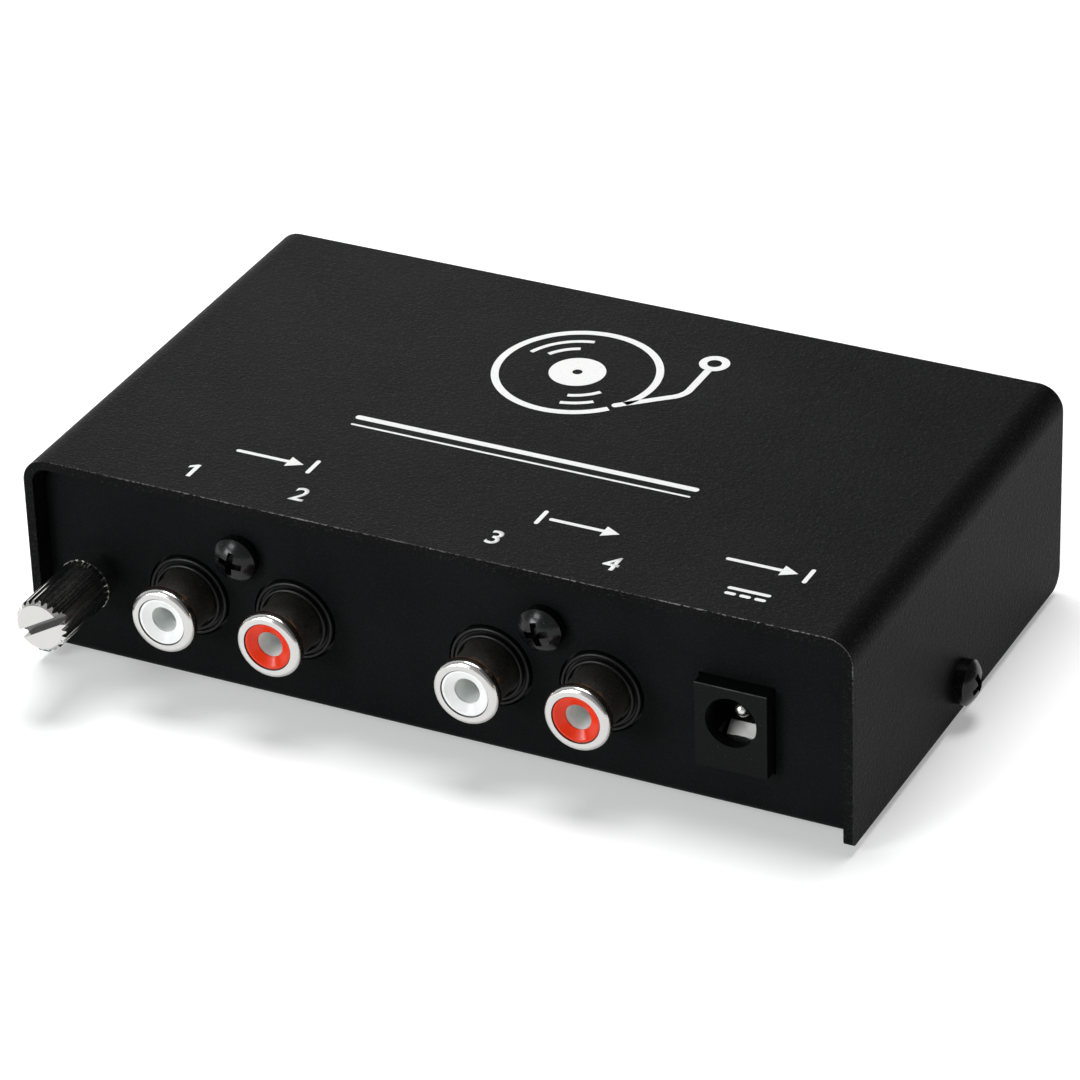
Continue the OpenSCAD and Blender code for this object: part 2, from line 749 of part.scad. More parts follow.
module board_spacers() {
    color(zinc) place() for (x = [-1, 1] * board_hole_x, y = board_hole_ys)
        translate([x, board_front + y, tray_t]) difference() {
            cylinder(d = spacer_d, h = spacer_h);
            translate([0, 0, 0.3]) cylinder(d = thread_d, h = spacer_h + cut);
        }
}

module board_screws() {
    color(zinc) place() for (x = [-1, 1] * board_hole_x, y = board_hole_ys)
        translate([x, board_front + y, board_top]) dome_screw(board_screw_len, 10);
}

module op_amp(x) {
    body = [4 * dip_pitch - 0.6, 6.4, 3.3];
    color("#1a1a1c") place() {
        translate([x - body[0] / 2, board_front + op_amp_y - body[1] / 2, board_top + 0.5]) difference() {
            cube(body);
            translate([0, body[1] / 2, body[2] - 0.4]) cylinder(d = 1.6, h = cut);
        }
        for (p = dip_leads([x, op_amp_y])) {
            tail(p[0], p[1], lead_r);
            side = p[1] > op_amp_y ? -1 : 1;
            translate([p[0], board_front + p[1] + side * 0.35, board_top + 1.1])
                cube([0.6, 1.3, 2.2], center = true);
        }
    }
}

module radial_can(at, d, h, pitch) {
    translate([at[0], board_front + at[1], board_top]) difference() {
        cylinder(d = d, h = h);
        for (arm = [0, 60, 120]) rotate(arm)
            translate([-d * 0.36, -0.15, h - 0.2]) cube([d * 0.72, 0.3, cut]);
    }
    for (p = pair(at, pitch)) tail(p[0], p[1]);
}

module coupling_capacitors() {
    color("#23324a") place() for (x = coupling_cap_xs, y = channel_y)
        radial_can([x, y], coupling_cap_d, coupling_cap_h, lead_pitch_cap);
}

module reservoir_capacitor() {
    color("#1f2c40") place()
        radial_can(reservoir_at, reservoir_d, reservoir_h, lead_pitch_reservoir);
}

module film_capacitors() {
    color("#b23a2a") place() for (x = film_cap_xs, y = [channel_y[0] - 2, channel_y[1] + 8]) {
        translate([x - film_cap_len / 2, board_front + y - film_cap_t / 2, board_top])
            cube([film_cap_len, film_cap_t, film_cap_h]);
        for (p = pair([x, y], lead_pitch_film)) tail(p[0], p[1]);
    }
}

module input_load_capacitors() {
    disc_d = 5;
    disc_t = 2;
    color("#c98a3c") place() for (x = [jack_xs[0], jack_xs[1]]) {
        facing_back(x, board_front + load_cap_y - disc_t / 2, board_top + disc_d / 2 + 0.6)
            cylinder(d = disc_d, h = disc_t);
        for (p = pair([x, load_cap_y], lead_pitch_cap)) {
            translate([p[0], board_front + p[1], tail_z]) cylinder(r = lead_r, h = tail_len + 2);
        }
    }
}

module axial_part(at, body_d, body_len, pitch) {
    rise = body_d / 2 + 0.1;
    translate([at[0], board_front + at[1], board_top + rise]) rotate([0, 90, 0]) {
        cylinder(d = body_d, h = body_len, center = true);
        cylinder(r = lead_r, h = pitch, center = true);
    }
    for (p = pair(at, pitch)) {
        translate([p[0], board_front + p[1], tail_z]) cylinder(r = lead_r, h = tail_len + rise);
        translate([p[0], board_front + p[1], board_top + rise]) sphere(lead_r);
    }
}

module resistors() {
    color("#3f7fa6") place() for (x = resistor_xs, y = resistor_rows)
        axial_part([x, y], resistor_d, resistor_len, lead_pitch_resistor);
}

module supply_diode() {
    color("#2a2a2a") place() axial_part(diode_at, 2.6, 5.2, lead_pitch_diode);
}

module voltage_regulator() {
    body_d = 4.8;
    body_h = 4.8;
    stand_off = 1.5;
    at = [regulator_at[0], board_front + regulator_at[1]];
    color("#1d1d1f") place() {
        translate([at[0], at[1], board_top + stand_off]) difference() {
            cylinder(d = body_d, h = body_h);
            translate([-body_d, -body_d - 1.4, -cut]) cube([2 * body_d, body_d, body_h + 2 * cut]);
        }
        for (i = [-1, 0, 1]) translate([at[0] + i * dip_pitch / 2, at[1], tail_z])
            cylinder(r = lead_r, h = tail_len + stand_off + 0.2);
    }
}

// ---------- assembly ----------

cover();
base_tray();
cover_screws();
rubber_feet();
jack_housing(input_x);  // input_jack_housing
jack_housing(output_x);  // output_jack_housing
jack_sleeve(jack_xs[0]);  // input_left_sleeve
jack_sleeve(jack_xs[1]);  // input_right_sleeve
jack_sleeve(jack_xs[2]);  // output_left_sleeve
jack_sleeve(jack_xs[3]);  // output_right_sleeve
jack_insulator(jack_xs[0], white_plastic);  // input_left_insulator
jack_insulator(jack_xs[1], red_plastic);  // input_right_insulator
jack_insulator(jack_xs[2], white_plastic);  // output_left_insulator
jack_insulator(jack_xs[3], red_plastic);  // output_right_insulator
jack_contact(jack_xs[0]);  // input_left_contact
jack_contact(jack_xs[1]);  // input_right_contact
jack_contact(jack_xs[2]);  // output_left_contact
jack_contact(jack_xs[3]);  // output_right_contact
jack_screws();
inlet_housing();
inlet_pin();
inlet_spring();
inlet_spring_tag();
inlet_switch_contact();
ground_thumb_screw();
ground_clamp_washer();
ground_post();
ground_lock_washer();
ground_ring_tag();
ground_nut();
ground_wire();
circuit_board();
board_spacers();
board_screws();
op_amp(op_amp_xs[0]);  // first_stage_op_amp
op_amp(op_amp_xs[1]);  // second_stage_op_amp
voltage_regulator();
supply_diode();
reservoir_capacitor();
coupling_capacitors();
film_capacitors();
input_load_capacitors();
resistors();
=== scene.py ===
"""Looks of a small phono preamp: finishes of its CAD parts, the marks on its cover, and a studio."""

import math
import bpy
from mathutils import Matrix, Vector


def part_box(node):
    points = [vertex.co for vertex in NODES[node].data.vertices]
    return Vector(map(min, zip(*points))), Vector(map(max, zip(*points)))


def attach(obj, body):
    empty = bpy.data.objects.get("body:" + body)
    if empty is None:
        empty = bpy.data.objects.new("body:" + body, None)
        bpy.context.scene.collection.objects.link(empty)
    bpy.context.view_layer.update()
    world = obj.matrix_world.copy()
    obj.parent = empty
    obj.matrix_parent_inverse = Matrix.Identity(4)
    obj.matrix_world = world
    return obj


bl_info = {
    "name": "Phono Preamp Looks",
    "version": (1, 0, 0),
    "blender": (4, 5, 0),
    "location": "3D View > Sidebar > Preamp",
    "description": "Finishes, printed marks and studio for a small metal phono preamp",
    "category": "Object",
}

from functools import partial

import bmesh
import bpy
from bpy.props import FloatProperty, FloatVectorProperty, PointerProperty
from mathutils import Color, Matrix, Vector

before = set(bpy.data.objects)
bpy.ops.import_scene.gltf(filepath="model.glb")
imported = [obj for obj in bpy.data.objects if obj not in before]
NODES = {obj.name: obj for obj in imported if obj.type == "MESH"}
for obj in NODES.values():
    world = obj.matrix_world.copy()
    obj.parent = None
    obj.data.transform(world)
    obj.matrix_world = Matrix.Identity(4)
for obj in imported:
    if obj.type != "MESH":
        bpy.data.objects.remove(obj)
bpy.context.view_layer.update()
MM = 0.001

COVER_LOW, COVER_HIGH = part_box("cover")
BOARD_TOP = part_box("circuit_board")[1].z

# Finishes
WHITE = (1.0, 1.0, 1.0)
SKIN = 0.02 * MM  # how far a finish reaches past the edges of the slot or gap that it fills
KNURL_END = 10.5 * MM  # from the thumb screw's front end to where its ridges end
KNURL_SHADE_RADIUS = 3.27 * MM  # painted shade darkens the grooves at the back of the ridges inside this radius; the rim outside stays bright
RESISTOR_BANDS = (  # millimetres from the middle, and colour
    (-2.0, (0.30, 0.02, 0.30)), (-1.0, (0.55, 0.03, 0.02)), (0.0, (0.01, 0.01, 0.01)),
    (1.0, (0.60, 0.16, 0.02)), (2.3, (0.16, 0.06, 0.02)),
)
RESISTOR_REACH, RESISTOR_HALF, RESISTOR_BAND_HALF = 4.75 * MM, 3.16 * MM, 0.24 * MM
DIODE_HALF, DIODE_BAND, DIODE_BAND_HALF = 2.62 * MM, 1.55 * MM, 0.4 * MM
CHIP_HALF = 3.21 * MM
CHIP_UNDERSIDE, REGULATOR_UNDERSIDE, DISC_UNDERSIDE = 0.49 * MM, 1.49 * MM, 0.62 * MM  # over the board
WIRE_STRIPE_HALF = 0.22 * MM

# Marks on the cover in millimetres, as x and the distance behind the cover's front edge
JACK_NUMBERS = (("1", -33.0, 5.1), ("2", -18.7, 5.1), ("3", 6.6, 5.2), ("4", 21.5, 5.2))
ARROWS = ((-25.4, True), (14.5, False), (38.2, True))  # middle, and whether the bar is at its point
ARROWS_BACK, ARROW_HALF, ARROW_GAP, WALL_HALF = 11.4, 5.0, 1.3, 1.35
CURRENT_SIGN = (38.4, 5.1)
RECORD = (-1.9, 44.6)
RULES_BACK, RULES_LEFT, RULES_RIGHT = 23.3, -21.0, 23.2
RULES = ((0.9, 0.9), (-0.9, 0.34))  # distance from their middle line, and width

# Studio in metres and watts
FLOOR_HALF = 6.0
GLOW_NEAR, GLOW_FAR = 0.30, 1.10  # the floor turns to plain white between these distances
LOOK_AT = Vector((-0.292, 3.7, 13.071)) * MM
LAMP_AIM = Vector((0.0, 0.0, 0.012))
LAMPS = (  # name, place, size, power, colour
    ("key_lamp", (-0.04, 0.18, 1.07), (0.66, 0.44), 10.5, WHITE),
    ("back_lamp", (-0.19, 0.28, 0.19), (0.20, 0.14), 0.20, WHITE),
    ("front_lamp", (-0.66, -1.05, 0.24), (0.50, 0.32), 7.5, (0.97, 0.99, 1.0)),
    ("high_lamp", (-0.42, -0.82, 0.62), (0.36, 0.26), 3.0, (0.96, 0.98, 1.0)),
)
ROOM_SHADES = (  # unlit zones that gloss mirrors: direction, cosine at edge, cosine where full, how dark
    ((0.0, -1.0, 0.22), 0.0, 0.45, 0.62),
    ((0.76, 0.42, 0.50), -0.10, 0.60, 1.0),
)


# ---------- settings ----------


def length(name, description, default):
    return FloatProperty(
        name=name, description=description, default=default, min=0.0, unit="LENGTH", precision=5
    )


def share(name, description, default):
    return FloatProperty(
        name=name, description=description, default=default, min=0.0, max=1.0, subtype="FACTOR"
    )


def angle(name, description, degrees):
    return FloatProperty(
        name=name, description=description, default=math.radians(degrees), subtype="ANGLE"
    )


def colour(name, description, default):
    return FloatVectorProperty(
        name=name, description=description, default=default, min=0.0, max=1.0, size=3, subtype="COLOR"
    )


class PreampPaint(bpy.types.PropertyGroup):
    """Black coatings of the sheet metal and of the screws."""

    coat: colour("Cover coat", "Powder coat of the cover", (0.0028, 0.0029, 0.0030))
    coat_grain: length("Coat grain", "Size of one grain of the powder coat", 0.00031)
    coat_depth: length("Coat depth", "Height of the grains of the powder coat", 0.000100)
    bend: length("Bend radius", "Outer radius of the cover's two bends", 0.0032)
    panel: colour("Panel coat", "Coat of the tray and its two panels", (0.0030, 0.0035, 0.0036))
    worn: colour("Worn edge", "Rubbed coat along the front edge of the cover", (0.17, 0.17, 0.165))
    wear_width: length("Wear width", "How far the wear reaches in from an edge", 0.00009)
    screw: colour("Screw black", "Black oxide of the screws", (0.0030, 0.0032, 0.0038))


class PreampMetal(bpy.types.PropertyGroup):
    """Plated metals."""

    nickel: colour("Nickel", "Polished nickel of the jacks and the ground terminal", (0.58, 0.575, 0.56))
    # amber is a painted reflection in a band behind the jacks' lips
    amber: colour("Painted amber reflection", "Ragged painted amber reflection behind the lips of the jacks", (0.55, 0.24, 0.065))
    barrel: colour("Barrel", "Mottled black of the jack barrels behind their lips", (0.110, 0.104, 0.098))
    tin: colour("Tin", "Tin plate of contacts, tags and leads", (0.66, 0.67, 0.67))
    contact: colour("Contact", "Pale dull tin inside the jacks' contacts", (0.92, 0.95, 0.93))
    zinc: colour("Zinc", "Bright zinc of the nuts, spacers and board screws", (0.52, 0.54, 0.56))
    lip: length("Lip", "Length of the bright lip of a jack's sleeve", 0.0013)
    slot_width: length("Slot width", "Width of the slot in the thumb screw", 0.0011)
    slot_depth: length("Slot depth", "Depth of the slot in the thumb screw", 0.0014)
    slot_turn: angle("Slot turn", "Angle of the slot, anticlockwise from level", 30.0)
    line_spacing: length("Line spacing", "Distance between the fine turned lines", 0.00009)


class PreampPlastic(bpy.types.PropertyGroup):
    """Mouldings and the feet."""

    housing: colour("Jack housing", "Glossy black moulding round the jacks", (0.0055, 0.0055, 0.0058))
    inlet: colour("Inlet", "Satin black moulding of the power inlet", (0.0048, 0.0052, 0.0054))
    white: colour("White ring", "Insulator of the left channel's jacks", (0.90, 0.91, 0.90))
    red: colour("Red ring", "Insulator of the right channel's jacks", (0.73, 0.030, 0.003))
    rubber: colour("Rubber", "Feet", (0.012, 0.012, 0.012))
    grain: length("Mould grain", "Size of the grain left by the moulds", 0.00022)


class PreampBoard(bpy.types.PropertyGroup):
    """The circuit board and what is soldered to it."""

    mask: colour("Solder mask", "Green lacquer between the tracks", (0.010, 0.085, 0.028))
    track: colour("Track", "Green lacquer over the copper tracks", (0.022, 0.16, 0.050))
    laminate: colour("Laminate", "Cut edge of the board", (0.42, 0.36, 0.19))
    epoxy: colour("Epoxy", "Black body of chips", (0.016, 0.016, 0.018))
    sleeve: colour("Can sleeve", "Shrink sleeve of the round capacitors", (0.012, 0.020, 0.050))
    film: colour("Film box", "Box of the film capacitors", (0.40, 0.035, 0.018))
    ceramic: colour("Ceramic dip", "Coat of the ceramic discs", (0.52, 0.21, 0.04))
    resistor: colour("Resistor", "Lacquer of the resistors", (0.10, 0.29, 0.45))
    wire: colour("Wire", "Cover of the ground wire", (0.02, 0.22, 0.05))


class PreampMarks(bpy.types.PropertyGroup):
    """Printed marks on the cover."""

    ink: colour("Ink", "Off-white printing ink", (0.74, 0.74, 0.735))
    thickness: length("Ink thickness", "How far the ink stands above the coat", 0.00002)
    digit_height: length("Digit height", "Height of the numbers over the jacks", 0.0029)
    stroke: length("Stroke", "Line width of the arrows and the direct current sign", 0.00056)
    record_radius: length("Record radius", "Outer radius of the record pictogram", 0.0105)


class PreampStage(bpy.types.PropertyGroup):
    """Camera, floor and lamps."""

    turn: angle("Turn", "Camera's angle round the object", 27.099)
    height: angle("Height", "Camera's angle above the floor", 30.354)
    roll: angle("Roll", "Camera's roll", -1.944)
    distance: length("Distance", "From the camera to the point it looks at", 0.652)
    lens: FloatProperty(name="Lens", description="Focal length in millimetres", default=180.76, min=1.0)
    floor: colour("Floor", "Pale floor", (0.80, 0.80, 0.80))
    glow: share("Floor glow", "White that the camera sees in the floor on top of its lit colour", 0.32)
    fill: share("Fill", "Level of the even light from all round", 0.12)
    shade: share("Room shade", "How dark the studio is where gloss mirrors its unlit parts", 0.90)


# ---------- node helpers ----------


def plug(tree, socket, value):
    """Links a socket to another, or sets its value."""
    if isinstance(value, bpy.types.NodeSocket):
        tree.links.new(value, socket)
    elif isinstance(value, (Color, tuple)) and len(value) == 3 and socket.type == "RGBA":
        socket.default_value = (*value, 1.0)
    else:
        socket.default_value = value


def put(tree, kind, settings=None, **sockets):
    """Adds a shader node, with its settings and its sockets by name."""
    node = tree.nodes.new("ShaderNode" + kind)
    for key, value in (settings or {}).items():
        setattr(node, key, value)
    for key, value in sockets.items():
        plug(tree, node.inputs[key.replace("_", " ")], value)
    return node


def calc(tree, operation, *values):
    node = put(tree, "Math", {"operation": operation})
    for socket, value in zip(node.inputs, values):
        plug(tree, socket, value)
    return node.outputs[0]


def times(tree, *values):
    return calc(tree, "MULTIPLY", *values)


def plus(tree, *values):
    return calc(tree, "ADD", *values)


def minus(tree, *values):
    return calc(tree, "SUBTRACT", *values)


def radius_of(tree, x, z):
    """Distance from a line along Y."""
    return calc(tree, "SQRT", plus(tree, times(tree, x, x), times(tree, z, z)))


def blend(tree, factor, first, second):
    node = put(tree, "Mix", {"data_type": "RGBA"})
    for index, value in ((0, factor), (6, first), (7, second)):
        plug(tree, node.inputs[index], value)
    return node.outputs[2]


def between(tree, value, low, high, to_low=0.0, to_high=1.0):
    """Carries a value from one range to another, clamped."""
    node = put(
        tree, "MapRange", {"clamp": True},
        Value=value, From_Min=low, From_Max=high, To_Min=to_low, To_Max=to_high,
    )
    return node.outputs[0]


def noise(tree, vector, scale, detail=2.0, rough=0.5):
    node = put(tree, "TexNoise", Vector=vector, Scale=scale, Detail=detail, Roughness=rough)
    return node.outputs[0]


def cells(tree, vector, scale, feature="F1"):
    return put(tree, "TexVoronoi", {"feature": feature}, Vector=vector, Scale=scale)


def object_point(tree):
    return put(tree, "TexCoord").outputs["Object"]


def centred(tree, vector, centre, stretch=(1.0, 1.0, 1.0)):
    """Moves a pattern's middle to a point of the piece."""
    moved = [-c * s for c, s in zip(centre, stretch)]
    return put(tree, "Mapping", Vector=vector, Location=moved, Scale=stretch).outputs[0]


def parts_of(tree, vector):
    return put(tree, "SeparateXYZ", Vector=vector).outputs


def bump(tree, height, distance):
    return put(tree, "Bump", Strength=1.0, Distance=distance, Height=height).outputs[0]


def shaded(colour_of, amount):
    """A colour made darker or lighter, up to white."""
    return tuple(min(1.0, c * amount) for c in colour_of)


def within(tree, value, centre, half):
    """1 where a value is no further than half from the centre."""
    return calc(tree, "LESS_THAN", calc(tree, "ABSOLUTE", minus(tree, value, centre)), half)


# ---------- shared effects ----------


def effect(name, floats, outputs, build):
    """Makes a node group once, with a Vector and the floats, by name and default, as its inputs.

    build gets the tree and its inputs, and gives a value for each output.
    """
    tree = bpy.data.node_groups.get(name)
    if tree is None:
        tree = bpy.data.node_groups.new(name, "ShaderNodeTree")
        tree.interface.new_socket(name="Vector", in_out="INPUT", socket_type="NodeSocketVector")
        for label, default in floats.items():
            made = tree.interface.new_socket(name=label, in_out="INPUT", socket_type="NodeSocketFloat")
            made.default_value = default
        for label in outputs:
            tree.interface.new_socket(name=label, in_out="OUTPUT", socket_type="NodeSocketFloat")
        start, end = tree.nodes.new("NodeGroupInput"), tree.nodes.new("NodeGroupOutput")
        for socket, value in zip(end.inputs, build(tree, start.outputs)):
            plug(tree, socket, value)
    return tree


def use_effect(tree, group, **sockets):
    return put(tree, "Group", {"node_tree": group}, **sockets).outputs


def powder_grain():
    """Fine lumps of a powder coat, with lighter flecks and slow changes of its flow."""

    def build(tree, given):
        point, size = given["Vector"], given["Grain"]
        fine = calc(tree, "DIVIDE", 1.0, size)
        lumps = noise(tree, point, fine, 2.0, 0.6)
        pits = cells(tree, point, times(tree, fine, 0.62), "SMOOTH_F1").outputs[0]
        height = plus(tree, times(tree, lumps, 0.75), times(tree, pits, 0.35))
        sparks = noise(tree, point, times(tree, fine, 1.35), 1.0, 0.5)
        fleck = between(tree, sparks, 0.58, 0.74)
        flow = noise(tree, point, 55.0, 3.0, 0.55)
        return height, fleck, flow

    return effect("Powder grain", {"Grain": 0.0003}, ("Height", "Fleck", "Flow"), build)


def edge_wear():
    """Broken line of wear beside an edge, from the distance to that edge."""

    def build(tree, given):
        point, away, width = given["Vector"], given["Distance"], given["Width"]
        ragged = noise(tree, point, 2600.0, 3.0, 0.65)
        patches = noise(tree, point, 210.0, 2.0, 0.6)
        reach = times(tree, width, between(tree, ragged, 0.40, 0.64, 0.0, 1.7))
        close = between(tree, minus(tree, reach, away), 0.0, times(tree, width, 0.35))
        return (times(tree, close, between(tree, patches, 0.40, 0.60, 0.30, 1.0)),)

    return effect("Edge wear", {"Distance": 1.0, "Width": 0.0002}, ("Mask",), build)


def turned_lines():
    """Fine rings that a lathe leaves round the Y axis of its vector."""

    def build(tree, given):
        x, y, z = parts_of(tree, given["Vector"])
        radius = radius_of(tree, x, z)
        along = calc(tree, "DIVIDE", plus(tree, radius, y), given["Spacing"])
        rings = put(tree, "TexNoise", {"noise_dimensions": "1D"}, W=along, Scale=1.0, Detail=2.0)
        return (rings.outputs[0],)

    return effect("Turned lines", {"Spacing": 0.0001}, ("Height",), build)


def handling():
    """Soft smears of touch and fine dust in them."""

    def build(tree, given):
        point, size = given["Vector"], given["Size"]
        wide = noise(tree, point, calc(tree, "DIVIDE", 1.0, size), 3.0, 0.6)
        dust = noise(tree, point, 4200.0, 1.0, 0.5)
        return between(tree, wide, 0.35, 0.68), between(tree, dust, 0.66, 0.80)

    return effect("Handling", {"Size": 0.004}, ("Smear", "Dust"), build)


def mould_grain():
    """Faint grain and flow of a moulding."""

    def build(tree, given):
        point, size = given["Vector"], given["Size"]
        fine = noise(tree, point, calc(tree, "DIVIDE", 1.0, size), 2.0, 0.55)
        slow = noise(tree, point, calc(tree, "DIVIDE", 0.09, size), 2.0, 0.5)
        return plus(tree, times(tree, fine, 0.7), times(tree, slow, 0.5)), slow

    return effect("Mould grain", {"Size": 0.0002}, ("Height", "Flow"), build)


# ---------- finishes ----------


def feed(tree, sockets, **values):
    """Links the shader's sockets, by name, or sets their values."""
    for label, value in values.items():
        plug(tree, sockets[label.replace("_", " ")], value)


def finish(name, **values):
    """A material with the Principled shader and its fixed sockets, and the point that is shaded."""
    material = bpy.data.materials.new(name)
    material.use_nodes = True
    tree = material.node_tree
    sockets = tree.nodes["Principled BSDF"].inputs
    feed(tree, sockets, **values)
    return material, tree, sockets, object_point(tree)


def dress(material, *nodes):
    """Gives CAD parts a finish. Their shapes stay as they are."""
    for name in nodes:
        part = NODES[name]
        if not part.material_slots:
            part.data.materials.append(material)
        for place in part.material_slots:
            place.material = material


def powder_coat(name, base, grain_size, depth, roughness, flecks=0.8, worn_edge=None):
    """Black textured coat.

    worn_edge gives the distance to an edge that is rubbed, and how much it is rubbed there.
    """
    paint = bpy.context.scene.preamp_paint
    material, tree, sockets, point = finish(name, IOR=1.105)
    grain = use_effect(tree, powder_grain(), Vector=point, Grain=grain_size)
    light = tuple(min(1.0, c * 4.0 + 0.008) for c in base)
    body = blend(tree, times(tree, grain["Fleck"], flecks), base, light)
    body = blend(tree, between(tree, grain["Flow"], 0.35, 0.7, 0.0, 0.16), body, light)
    rough = minus(tree, roughness + 0.06, times(tree, grain["Fleck"], 0.14))
    if worn_edge:
        away, share_of = worn_edge(tree, parts_of(tree, point))
        worn = use_effect(tree, edge_wear(), Vector=point, Distance=away, Width=paint.wear_width)["Mask"]
        worn = times(tree, worn, share_of)
        body = blend(tree, worn, body, paint.worn)
        rough = minus(tree, rough, times(tree, worn, 0.10))
    feed(tree, sockets, Base_Color=body, Roughness=rough, Normal=bump(tree, grain["Height"], depth))
    return material


def front_edge(tree, axes):
    """Distance to the outer edge of the cover's front, and how much it is rubbed: less down the sides."""
    bend = bpy.context.scene.preamp_paint.bend
    past_side = minus(tree, calc(tree, "ABSOLUTE", axes[0]), COVER_HIGH.x - bend)
    past_top = minus(tree, axes[2], COVER_HIGH.z - bend)
    beyond = [calc(tree, "MAXIMUM", past, 0.0) for past in (past_side, past_top)]
    squares = [calc(tree, "POWER", distance, 2.0) for distance in beyond]
    inwards = minus(tree, bend, calc(tree, "SQRT", plus(tree, *squares)))
    behind = calc(tree, "ABSOLUTE", minus(tree, axes[1], COVER_LOW.y))
    wear_and_painted_highlight = between(tree, axes[2], COVER_HIGH.z - 3.0 * bend, COVER_HIGH.z - bend, 0.12, 1.0)
    return calc(tree, "MAXIMUM", inwards, behind), wear_and_painted_highlight


def turned_metal(name, base, centre, roughness, barrel=None, slot=None, foot=None, dust=0.10):
    """Polished metal turned round a line along Y through centre.

    barrel is where the lip of a jack ends: the metal behind it is black, past a ragged painted amber
    reflection.
    slot is (width, depth, turn) of a screwdriver slot in the front end, with painted shade inside it.
    foot is (distance behind the front end, radius) where a knurl ends: painted shade darkens its grooves
    there.
    """
    metal = bpy.context.scene.preamp_metal
    material, tree, sockets, point = finish(name)
    own = centred(tree, point, centre)
    lines = use_effect(tree, turned_lines(), Vector=own, Spacing=metal.line_spacing)["Height"]
    touch = use_effect(tree, handling(), Vector=point, Size=0.0035)
    tint = blend(tree, times(tree, touch["Smear"], 0.10), base, shaded(base, 0.7))
    rough = plus(tree, roughness, times(tree, touch["Smear"], 0.07))
    plating = 1.0
    x, y, z = parts_of(tree, own)
    if barrel is not None:
        back = barrel - centre[1]
        # painted reflection: an amber band just behind the lip
        amber_reflection = between(tree, y, back - 0.60 * MM, back + 0.05 * MM)
        tint = blend(tree, amber_reflection, tint, metal.amber)
        patches = noise(tree, point, 900.0, 3.0, 0.6)
        ragged = between(tree, patches, 0.36, 0.66, back + 0.30 * MM, back + 1.60 * MM)
        black = between(tree, y, back + 0.10 * MM, ragged)
        mottle = between(tree, noise(tree, point, 3600.0, 3.0, 0.7), 0.34, 0.66)
        mottled = blend(tree, mottle, metal.barrel, shaded(metal.barrel, 0.40))
        tint = blend(tree, black, tint, mottled)
        rough = plus(tree, rough, times(tree, black, 0.28))
        plating = between(tree, y, back - 0.05 * MM, back + 0.10 * MM, 1.0, 0.35)
        plating = plus(tree, plating, times(tree, black, 0.40))
    if slot is not None:
        width, depth, turn = slot
        across = minus(tree, times(tree, z, math.cos(turn)), times(tree, x, math.sin(turn)))
        inside = within(tree, across, 0.0, width / 2 + SKIN)
        inside = times(tree, inside, within(tree, y, depth / 2 + SKIN, depth / 2))
        # painted shade: the inside of the slot is darkened
        tint = blend(tree, inside, tint, shaded(base, 0.22))
    if foot is not None:
        end, shade_radius = foot
        # painted shade: the grooves at the back end of the knurl are darkened
        painted_shade = within(tree, y, end - 0.25 * MM, 0.31 * MM)
        painted_shade = times(tree, painted_shade, calc(tree, "LESS_THAN", radius_of(tree, x, z), shade_radius))
        tint = blend(tree, painted_shade, tint, shaded(base, 0.10))
        rough = plus(tree, rough, times(tree, painted_shade, 0.25))
    rough = plus(tree, rough, times(tree, touch["Dust"], dust))
    relief = bump(tree, lines, 0.0000009)
    feed(tree, sockets, Base_Color=tint, Metallic=plating, Roughness=rough, Normal=relief)
    return material


def rolled_metal(name, base, roughness, stretch=(1.0, 0.06, 1.0), metallic=1.0):
    """Plated sheet and wire with fine streaks along the way it was rolled."""
    material, tree, sockets, point = finish(name, Metallic=metallic)
    streaks = noise(tree, centred(tree, point, (0, 0, 0), stretch), 5200.0, 3.0, 0.6)
    cloud = noise(tree, point, 420.0, 2.0, 0.6)
    tint = blend(tree, between(tree, cloud, 0.3, 0.7, 0.0, 0.5), base, shaded(base, 0.66))
    rough = between(tree, streaks, 0.3, 0.7, roughness - 0.07, roughness + 0.10)
    feed(tree, sockets, Base_Color=tint, Roughness=rough, Normal=bump(tree, streaks, 0.000003))
    return material


def zinc_plate():
    """Bright zinc with its small crystals."""
    base = bpy.context.scene.preamp_metal.zinc
    material, tree, sockets, point = finish("Zinc plate", Metallic=1.0)
    crystals = cells(tree, point, 2100.0)
    tone = parts_of(tree, crystals.outputs["Color"])[0]
    tint = blend(tree, tone, base, shaded(base, 1.3))
    rough = between(tree, tone, 0.0, 1.0, 0.22, 0.38)
    relief = bump(tree, crystals.outputs[0], 0.000004)
    feed(tree, sockets, Base_Color=tint, Roughness=rough, Normal=relief)
    return material


